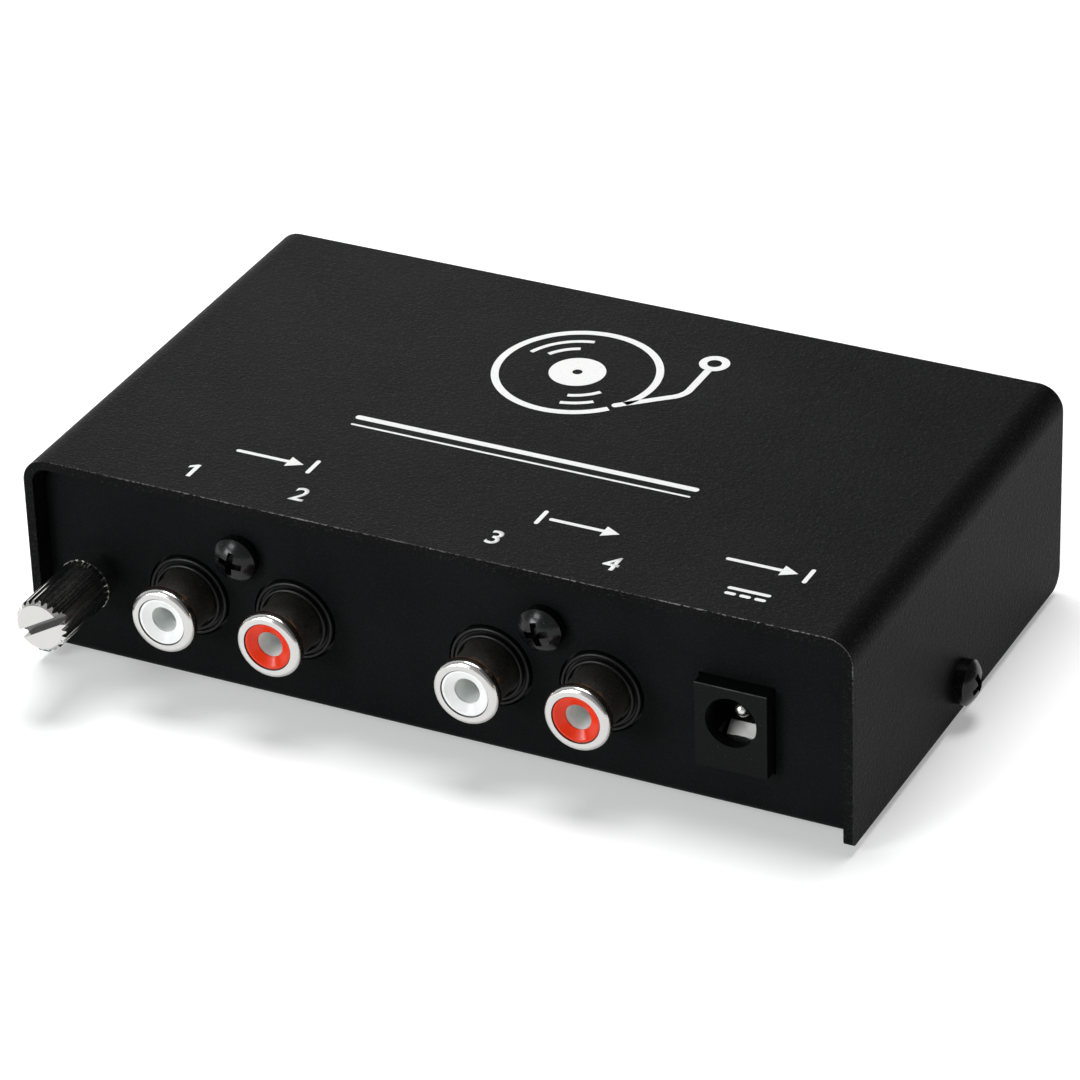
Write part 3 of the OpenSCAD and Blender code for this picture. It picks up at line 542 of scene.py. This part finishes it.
def moulding(name, base, roughness, depth=0.000003, dust=0.5, gap_shade=None, ior=1.45, corner=None):
    """Moulded plastic with faint grain, smears and dust.

    gap_shade is (centre, inner radius) of painted shade in the gap round a ring that lies in a sleeve
    along Y.
    corner is (y, z) of an edge along X that gets a pale painted highlight.
    """
    plastic = bpy.context.scene.preamp_plastic
    material, tree, sockets, point = finish(name, IOR=ior)
    grain = use_effect(tree, mould_grain(), Vector=point, Size=plastic.grain)
    touch = use_effect(tree, handling(), Vector=point, Size=0.005)
    flow = between(tree, grain["Flow"], 0.35, 0.65, 0.0, 0.6)
    body = blend(tree, flow, base, shaded(base, 0.90))
    pale = tuple(min(1.0, c + 0.05) for c in base)
    body = blend(tree, times(tree, touch["Dust"], dust), body, pale)
    if gap_shade:
        centre, inner = gap_shade
        x, y, z = parts_of(tree, centred(tree, point, centre))
        # painted shade: a dark ring at the insulator's outer edge, in the gap to the sleeve
        dark = between(tree, radius_of(tree, x, z), inner, inner + 0.04 * MM)
        body = blend(tree, dark, body, shaded(base, 0.08))
    if corner:
        x, y, z = parts_of(tree, point)
        # painted highlight: a pale line along the housing's front top edge
        wear_and_painted_highlight = times(tree, within(tree, y, corner[0], 0.10 * MM), within(tree, z, corner[1], 0.12 * MM))
        wear_and_painted_highlight = times(tree, wear_and_painted_highlight, between(tree, grain["Flow"], 0.3, 0.6))
        body = blend(tree, wear_and_painted_highlight, body, (0.07, 0.07, 0.07))
    rough = plus(tree, roughness, times(tree, touch["Smear"], 0.09))
    feed(tree, sockets, Base_Color=body, Roughness=rough, Normal=bump(tree, grain["Height"], depth))
    return material


def black_oxide():
    """Oiled black oxide of the screws, with bare glints in its grain."""
    base = bpy.context.scene.preamp_paint.screw
    material, tree, sockets, point = finish("Black oxide", IOR=1.30, Coat_Roughness=0.12, Coat_IOR=1.35)
    grain = use_effect(tree, mould_grain(), Vector=point, Size=0.00016)
    touch = use_effect(tree, handling(), Vector=point, Size=0.0016)
    tint = blend(tree, touch["Dust"], base, (0.05, 0.05, 0.055))
    rough = plus(tree, 0.22, times(tree, touch["Smear"], 0.08))
    oil = between(tree, touch["Smear"], 0.0, 1.0, 0.26, 0.16)
    relief = bump(tree, grain["Height"], 0.000003)
    feed(tree, sockets, Base_Color=tint, Roughness=rough, Coat_Weight=oil, Normal=relief)
    return material


def rubber():
    base = bpy.context.scene.preamp_plastic.rubber
    material, tree, sockets, point = finish("Foot rubber", Specular_IOR_Level=0.3)
    crumbs = noise(tree, point, 3600.0, 3.0, 0.7)
    dust = noise(tree, point, 900.0, 2.0, 0.6)
    tint = blend(tree, between(tree, dust, 0.5, 0.75, 0.0, 0.6), base, (0.05, 0.048, 0.045))
    rough = between(tree, crumbs, 0.3, 0.7, 0.72, 0.92)
    feed(tree, sockets, Base_Color=tint, Roughness=rough, Normal=bump(tree, crumbs, 0.00003))
    return material


def two_part(name, mask_maker, body_maker, roughness):
    """A board part: its body where the mask is 1, and tinned leads elsewhere."""
    tin = bpy.context.scene.preamp_metal.tin
    material, tree, sockets, point = finish(name)
    axes = parts_of(tree, point)
    mask = mask_maker(tree, axes)
    grain = use_effect(tree, mould_grain(), Vector=point, Size=0.00018)
    solder = noise(tree, point, 1500.0, 2.0, 0.6)
    lead = blend(tree, between(tree, solder, 0.3, 0.7), tin, shaded(tin, 0.75))
    tint = blend(tree, mask, lead, body_maker(tree, axes))
    bare = minus(tree, 1.0, mask)
    body_rough = between(tree, grain["Flow"], 0.35, 0.65, roughness - 0.05, roughness + 0.08)
    rough = plus(tree, times(tree, mask, body_rough), times(tree, bare, 0.28))
    relief = bump(tree, grain["Height"], 0.000006)
    feed(tree, sockets, Base_Color=tint, Metallic=bare, Roughness=rough, Normal=relief)
    return material


def plain_body(base, dark=0.7):
    """Colour of a board part's body, with a slow change over it."""

    def build(tree, axes):
        place = put(tree, "CombineXYZ", X=axes[0], Y=axes[1], Z=axes[2]).outputs[0]
        slow = noise(tree, place, 480.0, 2.0, 0.6)
        return blend(tree, between(tree, slow, 0.3, 0.7), base, shaded(base, dark))

    return build


def over(level):
    """1 above a height."""
    return lambda tree, axes: calc(tree, "GREATER_THAN", axes[2], level)


def board_lacquer():
    """Green solder mask with the copper tracks showing under it, and the pale cut edge."""
    board = bpy.context.scene.preamp_board
    material, tree, sockets, point = finish("Board lacquer", Coat_Roughness=0.12)
    normal = parts_of(tree, put(tree, "TexCoord").outputs["Normal"])
    edge = calc(tree, "LESS_THAN", calc(tree, "ABSOLUTE", normal[2]), 0.5)
    layout = {"offset": 0.37, "offset_frequency": 2, "squash": 1.6, "squash_frequency": 3}
    rows = put(
        tree, "TexBrick", layout, Vector=point, Scale=1.0,
        Brick_Width=0.0074, Row_Height=0.0017, Mortar_Size=0.00022, Mortar_Smooth=0.1,
    )
    weave = put(tree, "TexChecker", Vector=point, Scale=2600.0).outputs["Fac"]
    tracks = blend(tree, rows.outputs["Fac"], board.track, board.mask)
    woven = blend(tree, times(tree, weave, 0.25), tracks, board.mask)
    tint = blend(tree, edge, woven, board.laminate)
    rough = plus(tree, 0.24, times(tree, edge, 0.45))
    lacquer = minus(tree, 0.5, times(tree, edge, 0.5))
    relief = bump(tree, minus(tree, 1.0, rows.outputs["Fac"]), 0.00002)
    feed(tree, sockets, Base_Color=tint, Roughness=rough, Coat_Weight=lacquer, Normal=relief)
    return material


# ---------- flat printed shapes ----------


def on_cover(x, back):
    """A point on the cover from millimetres across it and behind its front edge."""
    return Vector((x * MM, COVER_LOW.y + back * MM))


def bar(sheet, start, end, width, round_ends=(True, True)):
    """Adds a flat bar to a bmesh: a corner is spun round each end, and the outline is filled."""
    start, end = Vector((*start, 0.0)), Vector((*end, 0.0))
    along = (end - start).normalized()
    right = Vector((along.y, -along.x, 0.0)) * width / 2
    corners = []
    for centre, side, rounded in ((end, right, round_ends[1]), (start, -right, round_ends[0])):
        first = sheet.verts.new(centre + side)
        made = bmesh.ops.spin(
            sheet, geom=[first], cent=centre, axis=(0, 0, 1), dvec=(0, 0, 0),
            angle=math.pi, steps=12 if rounded else 1,
        )
        corners += [first, *(v for v in made["geom_last"] if isinstance(v, bmesh.types.BMVert))]
    sheet.edges.new((corners[1], corners[2]))
    sheet.edges.new((corners[3], corners[0]))
    bmesh.ops.contextual_create(sheet, geom=[e for e in sheet.edges if not e.link_faces])


def ring(sheet, centre, inner, outer, first=0.0, sweep=2 * math.pi, steps=96):
    """Adds a flat ring or arc to a bmesh by spinning a radial edge."""
    middle = Vector((*centre, 0.0))
    towards = Vector((math.cos(first), math.sin(first), 0.0))
    ends = [sheet.verts.new(middle + towards * r) for r in (inner, outer)]
    edge = sheet.edges.new(ends)
    whole = abs(sweep - 2 * math.pi) < 1e-6
    bmesh.ops.spin(
        sheet, geom=[edge, *ends], cent=middle, axis=(0, 0, 1), dvec=(0, 0, 0),
        angle=sweep, steps=steps, use_merge=whole,
    )


def arrow(sheet, tail, tip, width):
    """Adds a flat arrow to a bmesh: a bar, and a triangle just in front of it."""
    along = (tip - tail).normalized()
    head = width * 3.6
    neck = tip - along * head
    bar(sheet, tail, neck - along * 0.01 * MM, width, (True, False))
    triangle_h, triangle_w = 1.5, math.sqrt(3.0)
    place = (
        Matrix.Translation((*(neck + along * head / 3), 0.0))
        @ Matrix.Rotation(math.atan2(along.y, along.x) - math.pi / 2, 4, "Z")
        @ Matrix.Diagonal((head * 1.12 / triangle_w, head / triangle_h, 1.0, 1.0))
    )
    bmesh.ops.create_circle(sheet, cap_ends=True, segments=3, radius=1.0, matrix=place)


def print_on_cover(name, sheet):
    """Turns flat shapes into a thin layer of ink on the cover's top, riding on the case."""
    marks = bpy.context.scene.preamp_marks
    made = bmesh.ops.extrude_face_region(sheet, geom=sheet.faces[:])
    raised = [v for v in made["geom"] if isinstance(v, bmesh.types.BMVert)]
    bmesh.ops.translate(sheet, verts=raised, vec=(0, 0, marks.thickness))
    bmesh.ops.translate(sheet, verts=sheet.verts[:], vec=(0, 0, COVER_HIGH.z))
    bmesh.ops.recalc_face_normals(sheet, faces=sheet.faces[:])
    mesh = bpy.data.meshes.new(name)
    sheet.to_mesh(mesh)
    sheet.free()
    piece = bpy.data.objects.new(name, mesh)
    bpy.context.scene.collection.objects.link(piece)
    mesh.materials.append(bpy.data.materials.get("Printing ink") or printing_ink())
    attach(piece, "box")


def add_digit(sheet, centre, height, digit):
    """Adds one plain digit to a bmesh, its middle at centre."""
    letter = bpy.data.curves.new("digit", "FONT")
    letter.body = digit
    letter.size = height / 0.70
    letter.offset = height * 0.018
    letter.resolution_u = 8
    holder = bpy.data.objects.new("digit", letter)
    bpy.context.scene.collection.objects.link(holder)
    bpy.context.view_layer.update()
    flat = bpy.data.meshes.new_from_object(holder.evaluated_get(bpy.context.evaluated_depsgraph_get()))
    xs, ys = [v.co.x for v in flat.vertices], [v.co.y for v in flat.vertices]
    middle = Vector(((min(xs) + max(xs)) / 2, (min(ys) + max(ys)) / 2, 0.0))
    flat.transform(Matrix.Translation(Vector((*centre, 0.0)) - middle))
    sheet.from_mesh(flat)
    bpy.data.objects.remove(holder)
    bpy.data.curves.remove(letter)
    bpy.data.meshes.remove(flat)


def add_one(sheet, centre, height):
    """Adds a plain 1 with a flag to a bmesh, its middle at centre."""
    half, flag_x = height * 0.095, -height * 0.33
    outline = (
        (half, 0.0), (half, height), (-half * 0.5, height), (flag_x, height * 0.80),
        (flag_x, height * 0.64), (-half, height * 0.78), (-half, 0.0),
    )
    corners = [(centre[0] + x, centre[1] + y - height / 2, 0.0) for x, y in outline]
    sheet.faces.new([sheet.verts.new(corner) for corner in corners])


def jack_numbers(height):
    sheet = bmesh.new()
    for digit, x, back in JACK_NUMBERS:
        add = add_one if digit == "1" else partial(add_digit, digit=digit)
        add(sheet, centre=on_cover(x, back), height=height)
    bmesh.ops.remove_doubles(sheet, verts=sheet.verts[:], dist=1e-7)
    return sheet


def direction_signs(stroke):
    """Arrows to or from a bar that stands for the case's wall, and the direct current sign."""
    sheet = bmesh.new()
    reach, clear, wall_half = ARROW_HALF * MM, ARROW_GAP * MM, Vector((0.0, WALL_HALF * MM))
    for x, inwards in ARROWS:
        middle = on_cover(x, ARROWS_BACK)
        start, end = (-reach, reach - clear) if inwards else (clear - reach, reach)
        arrow(sheet, middle + Vector((start, 0.0)), middle + Vector((end, 0.0)), stroke)
        wall = middle + Vector((reach if inwards else -reach, 0.0))
        bar(sheet, wall - wall_half, wall + wall_half, stroke)
    middle = on_cover(*CURRENT_SIGN)
    dashes = [(-1.85, 0.42, -0.62), (0.0, 0.42, -0.62), (1.85, 0.42, -0.62)]
    for x, half, y in [(0.0, 2.4, 0.55), *dashes]:
        bar(sheet, middle + Vector((x - half, y)) * MM, middle + Vector((x + half, y)) * MM, stroke)
    return sheet


def record_pictogram(radius):
    """A record seen from above, and the arm that lies on it."""
    sheet = bmesh.new()
    centre = on_cover(*RECORD)
    arm_width, bend, turned = 0.95 * MM, 3.0 * MM, math.radians(50.0)
    pivot = centre + Vector((14.4, 8.4)) * MM
    elbow = pivot - Vector((bend, 7.2 * MM))
    wrist = elbow + Vector((math.cos(turned), -math.sin(turned))) * bend
    stylus = wrist - Vector((math.sin(turned), math.cos(turned))) * 7.2 * MM
    ring(sheet, pivot, 0.9 * MM, 1.9 * MM, steps=48)
    bar(sheet, pivot - Vector((0.0, 1.91 * MM)), elbow + Vector((bend, 0.0)), arm_width, (False, False))
    ring(sheet, elbow, bend - arm_width / 2, bend + arm_width / 2, 0.0, -turned, 16)
    bar(sheet, wrist, stylus, arm_width, (False, True))

    gap = math.radians(6.5)
    reached = math.atan2(stylus.y - centre.y, stylus.x - centre.x)
    ring(sheet, centre, radius - 0.95 * MM, radius, reached + gap, 2 * (math.pi - gap))
    ring(sheet, centre, 0.62 * MM, 3.5 * MM)
    width = 0.62 * MM
    for share_of, start, sweep in ((0.74, 100, 62), (0.56, 112, 40), (0.74, 280, 30), (0.56, 284, 40)):
        inner = radius * share_of - width / 2
        ring(sheet, centre, inner, inner + width, math.radians(start), math.radians(sweep), 24)
    bmesh.ops.remove_doubles(sheet, verts=sheet.verts[:], dist=1e-7)
    return sheet


def printing_ink():
    """Screen ink that follows the grain of the coat below it."""
    marks, paint = bpy.context.scene.preamp_marks, bpy.context.scene.preamp_paint
    material, tree, sockets, point = finish("Printing ink", IOR=1.3)
    grain = use_effect(tree, powder_grain(), Vector=point, Grain=paint.coat_grain)
    worn = between(tree, grain["Height"], 0.30, 0.42, 0.55, 0.0)
    thin = blend(tree, worn, marks.ink, shaded(marks.ink, 0.72))
    tint = blend(tree, times(tree, grain["Fleck"], 0.3), thin, shaded(marks.ink, 1.08))
    rough = between(tree, grain["Flow"], 0.3, 0.7, 0.42, 0.55)
    relief = bump(tree, grain["Height"], paint.coat_depth * 0.5)
    feed(tree, sockets, Base_Color=tint, Roughness=rough, Normal=relief)
    return material


# ---------- operators ----------


class PREAMP_OT_cover(bpy.types.Operator):
    """Powder coat of the cover"""

    bl_idname = "preamp.cover"
    bl_label = "Finish Cover"

    def execute(self, context):
        paint = context.scene.preamp_paint
        grain, depth = paint.coat_grain, paint.coat_depth
        coat = powder_coat("Cover coat", paint.coat, grain, depth, roughness=0.42, worn_edge=front_edge)
        dress(coat, "cover")
        return {"FINISHED"}


class PREAMP_OT_tray(bpy.types.Operator):
    """Coat of the tray with its front and back panels"""

    bl_idname = "preamp.tray"
    bl_label = "Finish Tray"

    def execute(self, context):
        paint = context.scene.preamp_paint
        grain, depth = paint.coat_grain * 0.8, paint.coat_depth * 0.7
        coat = powder_coat("Tray coat", paint.panel, grain, depth, roughness=0.42, flecks=0.5)
        dress(coat, "base_tray")
        return {"FINISHED"}


class PREAMP_OT_screws(bpy.types.Operator):
    """Black oxide of the cover's and the jacks' screws"""

    bl_idname = "preamp.screws"
    bl_label = "Finish Screws"

    def execute(self, context):
        dress(black_oxide(), "cover_screws", "jack_screws")
        return {"FINISHED"}


class PREAMP_OT_feet(bpy.types.Operator):
    """Rubber of the feet"""

    bl_idname = "preamp.feet"
    bl_label = "Finish Feet"

    def execute(self, context):
        dress(rubber(), "rubber_feet")
        return {"FINISHED"}


class PREAMP_OT_jacks(bpy.types.Operator):
    """Housings, plated sleeves, coloured insulators and contacts of the four jacks"""

    bl_idname = "preamp.jacks"
    bl_label = "Finish Jacks"

    def execute(self, context):
        plastic, metal = context.scene.preamp_plastic, context.scene.preamp_metal
        housing = moulding("Jack housing", plastic.housing, roughness=0.30, ior=1.3)
        dress(housing, "input_jack_housing", "output_jack_housing")
        inside = rolled_metal("Jack contact", metal.contact, roughness=0.45, metallic=0.0)
        for side, shade, dust in (("left", plastic.white, 0.5), ("right", plastic.red, 0.3)):
            for jack in ("input_" + side, "output_" + side):
                low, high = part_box(jack + "_sleeve")
                ring_low, ring_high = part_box(jack + "_insulator")
                centre = ((low.x + high.x) / 2, low.y, (ring_low.z + ring_high.z) / 2)
                name = jack.replace("_", " ")
                plated = turned_metal(
                    "Sleeve of " + name, metal.nickel, centre, roughness=0.17, barrel=low.y + metal.lip
                )
                dress(plated, jack + "_sleeve")
                gap_shade = (centre, ring_high.x - centre[0] - 0.13 * MM)
                glossy = moulding(
                    "Insulator of " + name, shade, roughness=0.13, dust=dust, gap_shade=gap_shade, ior=1.32
                )
                dress(glossy, jack + "_insulator")
                dress(inside, jack + "_contact")
        return {"FINISHED"}


class PREAMP_OT_inlet(bpy.types.Operator):
    """Housing, pin and spring contacts of the power inlet"""

    bl_idname = "preamp.inlet"
    bl_label = "Finish Inlet"

    def execute(self, context):
        plastic, metal = context.scene.preamp_plastic, context.scene.preamp_metal
        low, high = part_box("inlet_housing")
        satin = moulding(
            "Inlet housing", plastic.inlet, roughness=0.34, depth=0.000006, ior=1.14,
            corner=(low.y, high.z),
        )
        dress(satin, "inlet_housing")
        low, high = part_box("inlet_pin")
        pin_centre = ((low.x + high.x) / 2, high.y, high.z - 1.0 * MM)
        dress(turned_metal("Inlet pin", metal.nickel, pin_centre, roughness=0.24), "inlet_pin")
        sprung = rolled_metal("Sprung contact", metal.nickel, roughness=0.36)
        dress(sprung, "inlet_spring", "inlet_spring_tag")
        dress(rolled_metal("Switch contact", metal.tin, roughness=0.30), "inlet_switch_contact")
        return {"FINISHED"}


class PREAMP_OT_ground_terminal(bpy.types.Operator):
    """Nickel of the ground terminal and the parts behind its panel"""

    bl_idname = "preamp.ground_terminal"
    bl_label = "Finish Ground Terminal"

    def execute(self, context):
        metal, board = context.scene.preamp_metal, context.scene.preamp_board
        low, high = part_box("ground_thumb_screw")
        centre = ((low.x + high.x) / 2, low.y, (low.z + high.z) / 2)
        slot = (metal.slot_width, metal.slot_depth, metal.slot_turn)
        foot = (KNURL_END, KNURL_SHADE_RADIUS)
        knurled = turned_metal(
            "Thumb screw nickel", metal.nickel, centre, roughness=0.13, slot=slot, foot=foot, dust=0.0
        )
        dress(knurled, "ground_thumb_screw")
        smooth = turned_metal("Terminal nickel", metal.nickel, centre, roughness=0.13)
        dress(smooth, "ground_clamp_washer", "ground_post")
        tinned = rolled_metal("Ring tag", metal.tin, roughness=0.30, stretch=(1.0, 1.0, 0.06))
        dress(tinned, "ground_ring_tag")
        dress(zinc_plate(), "ground_lock_washer", "ground_nut")
        low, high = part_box("ground_wire")
        middle = (low.x + high.x) / 2

        def striped(tree, axes):
            stripe = within(tree, axes[0], middle, WIRE_STRIPE_HALF)
            return blend(tree, stripe, board.wire, (0.72, 0.55, 0.04))

        everywhere = over(COVER_LOW.z - 1.0)
        dress(two_part("Wire cover", everywhere, striped, roughness=0.36), "ground_wire")
        return {"FINISHED"}


class PREAMP_OT_board(bpy.types.Operator):
    """Circuit board and the parts soldered to it"""

    bl_idname = "preamp.board"
    bl_label = "Finish Board"

    def execute(self, context):
        board = context.scene.preamp_board
        dress(board_lacquer(), "circuit_board")
        dress(bpy.data.materials.get("Zinc plate") or zinc_plate(), "board_spacers", "board_screws")

        low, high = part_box("first_stage_op_amp")
        chips_y = (low.y + high.y) / 2

        def chip(tree, axes):
            between_legs = within(tree, axes[1], chips_y, CHIP_HALF)
            return times(tree, between_legs, over(BOARD_TOP + CHIP_UNDERSIDE)(tree, axes))

        epoxy = plain_body(board.epoxy)
        dress(two_part("Chip", chip, epoxy, roughness=0.45), "first_stage_op_amp", "second_stage_op_amp")
        regulator = two_part("Regulator", over(BOARD_TOP + REGULATOR_UNDERSIDE), epoxy, roughness=0.45)
        dress(regulator, "voltage_regulator")

        low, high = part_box("supply_diode")
        diode_x = (low.x + high.x) / 2

        def diode(tree, axes):
            return within(tree, axes[0], diode_x, DIODE_HALF)

        def banded(tree, axes):
            band = within(tree, axes[0], diode_x + DIODE_BAND, DIODE_BAND_HALF)
            return blend(tree, band, board.epoxy, (0.6, 0.6, 0.6))

        dress(two_part("Diode", diode, banded, roughness=0.3), "supply_diode")

        def sleeved(tree, axes):
            normal = parts_of(tree, put(tree, "TexCoord").outputs["Normal"])
            stripe = calc(tree, "GREATER_THAN", normal[0], 0.86)
            wrapped = blend(tree, stripe, board.sleeve, (0.42, 0.44, 0.47))
            lid = calc(tree, "GREATER_THAN", normal[2], 0.9)
            return blend(tree, lid, wrapped, (0.58, 0.59, 0.60))

        cans = two_part("Can sleeve", over(BOARD_TOP), sleeved, roughness=0.25)
        dress(cans, "coupling_capacitors", "reservoir_capacitor")
        boxes = two_part("Film box", over(BOARD_TOP), plain_body(board.film, 0.8), roughness=0.28)
        dress(boxes, "film_capacitors")
        coated = plain_body(board.ceramic, 0.8)
        dipped = two_part("Ceramic dip", over(BOARD_TOP + DISC_UNDERSIDE), coated, roughness=0.5)
        dress(dipped, "input_load_capacitors")

        low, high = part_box("resistors")

        def from_middle(tree, axes):
            """Distance along a resistor from its own middle, for the two columns of them."""
            left = calc(tree, "LESS_THAN", axes[0], (low.x + high.x) / 2)
            first, second = low.x + RESISTOR_REACH, high.x - RESISTOR_REACH
            centre = plus(tree, second, times(tree, left, first - second))
            return minus(tree, axes[0], centre)

        def resistor(tree, axes):
            return within(tree, from_middle(tree, axes), 0.0, RESISTOR_HALF)

        def ringed(tree, axes):
            along = from_middle(tree, axes)
            shown = board.resistor
            for place, tone in RESISTOR_BANDS:
                band = within(tree, along, place * MM, RESISTOR_BAND_HALF)
                shown = blend(tree, band, shown, tone)
            return shown

        dress(two_part("Resistor", resistor, ringed, roughness=0.3), "resistors")
        return {"FINISHED"}


class PREAMP_OT_marks(bpy.types.Operator):
    """Numbers, arrows, the direct current sign and the record pictogram printed on the cover"""

    bl_idname = "preamp.marks"
    bl_label = "Print Marks"

    def execute(self, context):
        marks = context.scene.preamp_marks
        print_on_cover("jack_numbers", jack_numbers(marks.digit_height))
        print_on_cover("direction_signs", direction_signs(marks.stroke))
        print_on_cover("record_pictogram", record_pictogram(marks.record_radius))

        rules = bmesh.new()
        left, right = on_cover(RULES_LEFT, RULES_BACK), on_cover(RULES_RIGHT, RULES_BACK)
        for place, width in RULES:
            aside = Vector((0.0, place * MM))
            bar(rules, left + aside, right + aside, width * MM)
        print_on_cover("printed_rules", rules)
        return {"FINISHED"}


def seen_rays(tree):
    """1 for the camera's own rays, and 1 for rays that gloss or glass sends on."""
    path = put(tree, "LightPath").outputs
    mirrored = calc(tree, "MAXIMUM", path["Is Glossy Ray"], path["Is Transmission Ray"])
    return path["Is Camera Ray"], mirrored


def lay_floor(stage):
    """A floor that takes the object's shadow and turns to plain white further out."""
    sheet = bmesh.new()
    bmesh.ops.create_grid(sheet, x_segments=8, y_segments=8, size=FLOOR_HALF)
    mesh = bpy.data.meshes.new("studio_floor")
    sheet.to_mesh(mesh)
    sheet.free()
    floor = bpy.data.objects.new("studio_floor", mesh)
    bpy.context.scene.collection.objects.link(floor)
    material, tree, sockets, point = finish("Studio floor", Roughness=0.9, Specular_IOR_Level=0.0)
    camera, mirrored = seen_rays(tree)
    away = put(tree, "VectorMath", {"operation": "LENGTH"}, Vector=point)
    glow = between(tree, away.outputs["Value"], GLOW_NEAR, GLOW_FAR, stage.glow, 1.0)
    glow = times(tree, calc(tree, "MAXIMUM", camera, mirrored), glow)
    feed(tree, sockets, Base_Color=stage.floor, Emission_Color=WHITE, Emission_Strength=glow)
    mesh.materials.append(material)


def light_room(stage):
    """White behind the object, an even light from all round, and the unlit zones that gloss mirrors."""
    world = bpy.context.scene.world or bpy.data.worlds.new("Studio")
    bpy.context.scene.world = world
    world.use_nodes = True
    tree = world.node_tree
    tree.nodes.clear()
    camera, mirrored = seen_rays(tree)
    towards = put(tree, "TexCoord").outputs["Generated"]
    shade = 0.0
    for direction, first, full, depth in ROOM_SHADES:
        facing = put(tree, "VectorMath", {"operation": "DOT_PRODUCT"})
        plug(tree, facing.inputs[0], towards)
        facing.inputs[1].default_value = Vector(direction).normalized()
        zone = between(tree, facing.outputs["Value"], first, full, 0.0, depth)
        shade = calc(tree, "MAXIMUM", shade, zone)
    room = minus(tree, 1.0, times(tree, shade, stage.shade))
    plain = minus(tree, 1.0, calc(tree, "MAXIMUM", camera, mirrored))
    level = plus(tree, camera, times(tree, mirrored, room))
    level = plus(tree, level, times(tree, plain, stage.fill))
    shown = put(tree, "Background", Color=WHITE, Strength=level)
    end = put(tree, "OutputWorld")
    tree.links.new(shown.outputs[0], end.inputs[0])


def hang_lamps():
    for name, place, size, power, tone in LAMPS:
        lamp = bpy.data.lights.new(name, "AREA")
        lamp.shape, lamp.size, lamp.size_y, lamp.energy, lamp.color = "RECTANGLE", *size, power, tone
        holder = bpy.data.objects.new(name, lamp)
        holder.location = place
        holder.rotation_euler = (LAMP_AIM - Vector(place)).to_track_quat("-Z", "Y").to_euler()
        bpy.context.scene.collection.objects.link(holder)


def set_camera(stage):
    """Puts the camera where the photograph was taken from."""
    back = Vector((
        math.sin(stage.turn) * math.cos(stage.height),
        -math.cos(stage.turn) * math.cos(stage.height),
        math.sin(stage.height),
    ))
    right = Vector((0, 0, 1)).cross(back).normalized()
    up = back.cross(right)
    level_right = right * math.cos(stage.roll) + up * math.sin(stage.roll)
    level_up = up * math.cos(stage.roll) - right * math.sin(stage.roll)
    lens = bpy.data.cameras.new("photo_camera")
    lens.lens, lens.sensor_width, lens.clip_start = stage.lens, 36.0, 0.01
    camera = bpy.data.objects.new("photo_camera", lens)
    turned = Matrix((level_right, level_up, back)).transposed().to_4x4()
    camera.matrix_world = Matrix.Translation(LOOK_AT + back * stage.distance) @ turned
    bpy.context.scene.collection.objects.link(camera)
    bpy.context.scene.camera = camera


class PREAMP_OT_stage(bpy.types.Operator):
    """Floor, even light, lamps and the camera"""

    bl_idname = "preamp.stage"
    bl_label = "Set Stage"

    def execute(self, context):
        stage = context.scene.preamp_stage
        lay_floor(stage)
        light_room(stage)
        hang_lamps()
        set_camera(stage)
        context.scene.view_settings.view_transform = "Standard"
        return {"FINISHED"}


class PREAMP_PT_looks(bpy.types.Panel):
    """The preamp's finishes, marks and stage"""

    bl_idname = "PREAMP_PT_looks"
    bl_label = "Phono Preamp"
    bl_space_type = "VIEW_3D"
    bl_region_type = "UI"
    bl_category = "Preamp"

    def draw(self, context):
        for operator in OPERATORS:
            self.layout.operator(operator.bl_idname)
        for name in SETTINGS:
            box = self.layout.box()
            group = getattr(context.scene, name)
            for key in group.bl_rna.properties.keys():
                if key not in {"rna_type", "name"}:
                    box.prop(group, key)


SETTINGS = {
    "preamp_paint": PreampPaint,
    "preamp_metal": PreampMetal,
    "preamp_plastic": PreampPlastic,
    "preamp_board": PreampBoard,
    "preamp_marks": PreampMarks,
    "preamp_stage": PreampStage,
}
OPERATORS = (
    PREAMP_OT_stage,
    PREAMP_OT_cover,
    PREAMP_OT_tray,
    PREAMP_OT_screws,
    PREAMP_OT_feet,
    PREAMP_OT_jacks,
    PREAMP_OT_inlet,
    PREAMP_OT_ground_terminal,
    PREAMP_OT_board,
    PREAMP_OT_marks,
)


def register():
    for cls in (*SETTINGS.values(), *OPERATORS, PREAMP_PT_looks):
        bpy.utils.register_class(cls)
    for name, cls in SETTINGS.items():
        setattr(bpy.types.Scene, name, PointerProperty(type=cls))


def unregister():
    for name in SETTINGS:
        delattr(bpy.types.Scene, name)
    for cls in reversed((*SETTINGS.values(), *OPERATORS, PREAMP_PT_looks)):
        bpy.utils.unregister_class(cls)


def main():
    register()
    for operator in OPERATORS:
        group, name = operator.bl_idname.split(".")
        getattr(getattr(bpy.ops, group), name)()


if __name__ == "__main__":
    main()
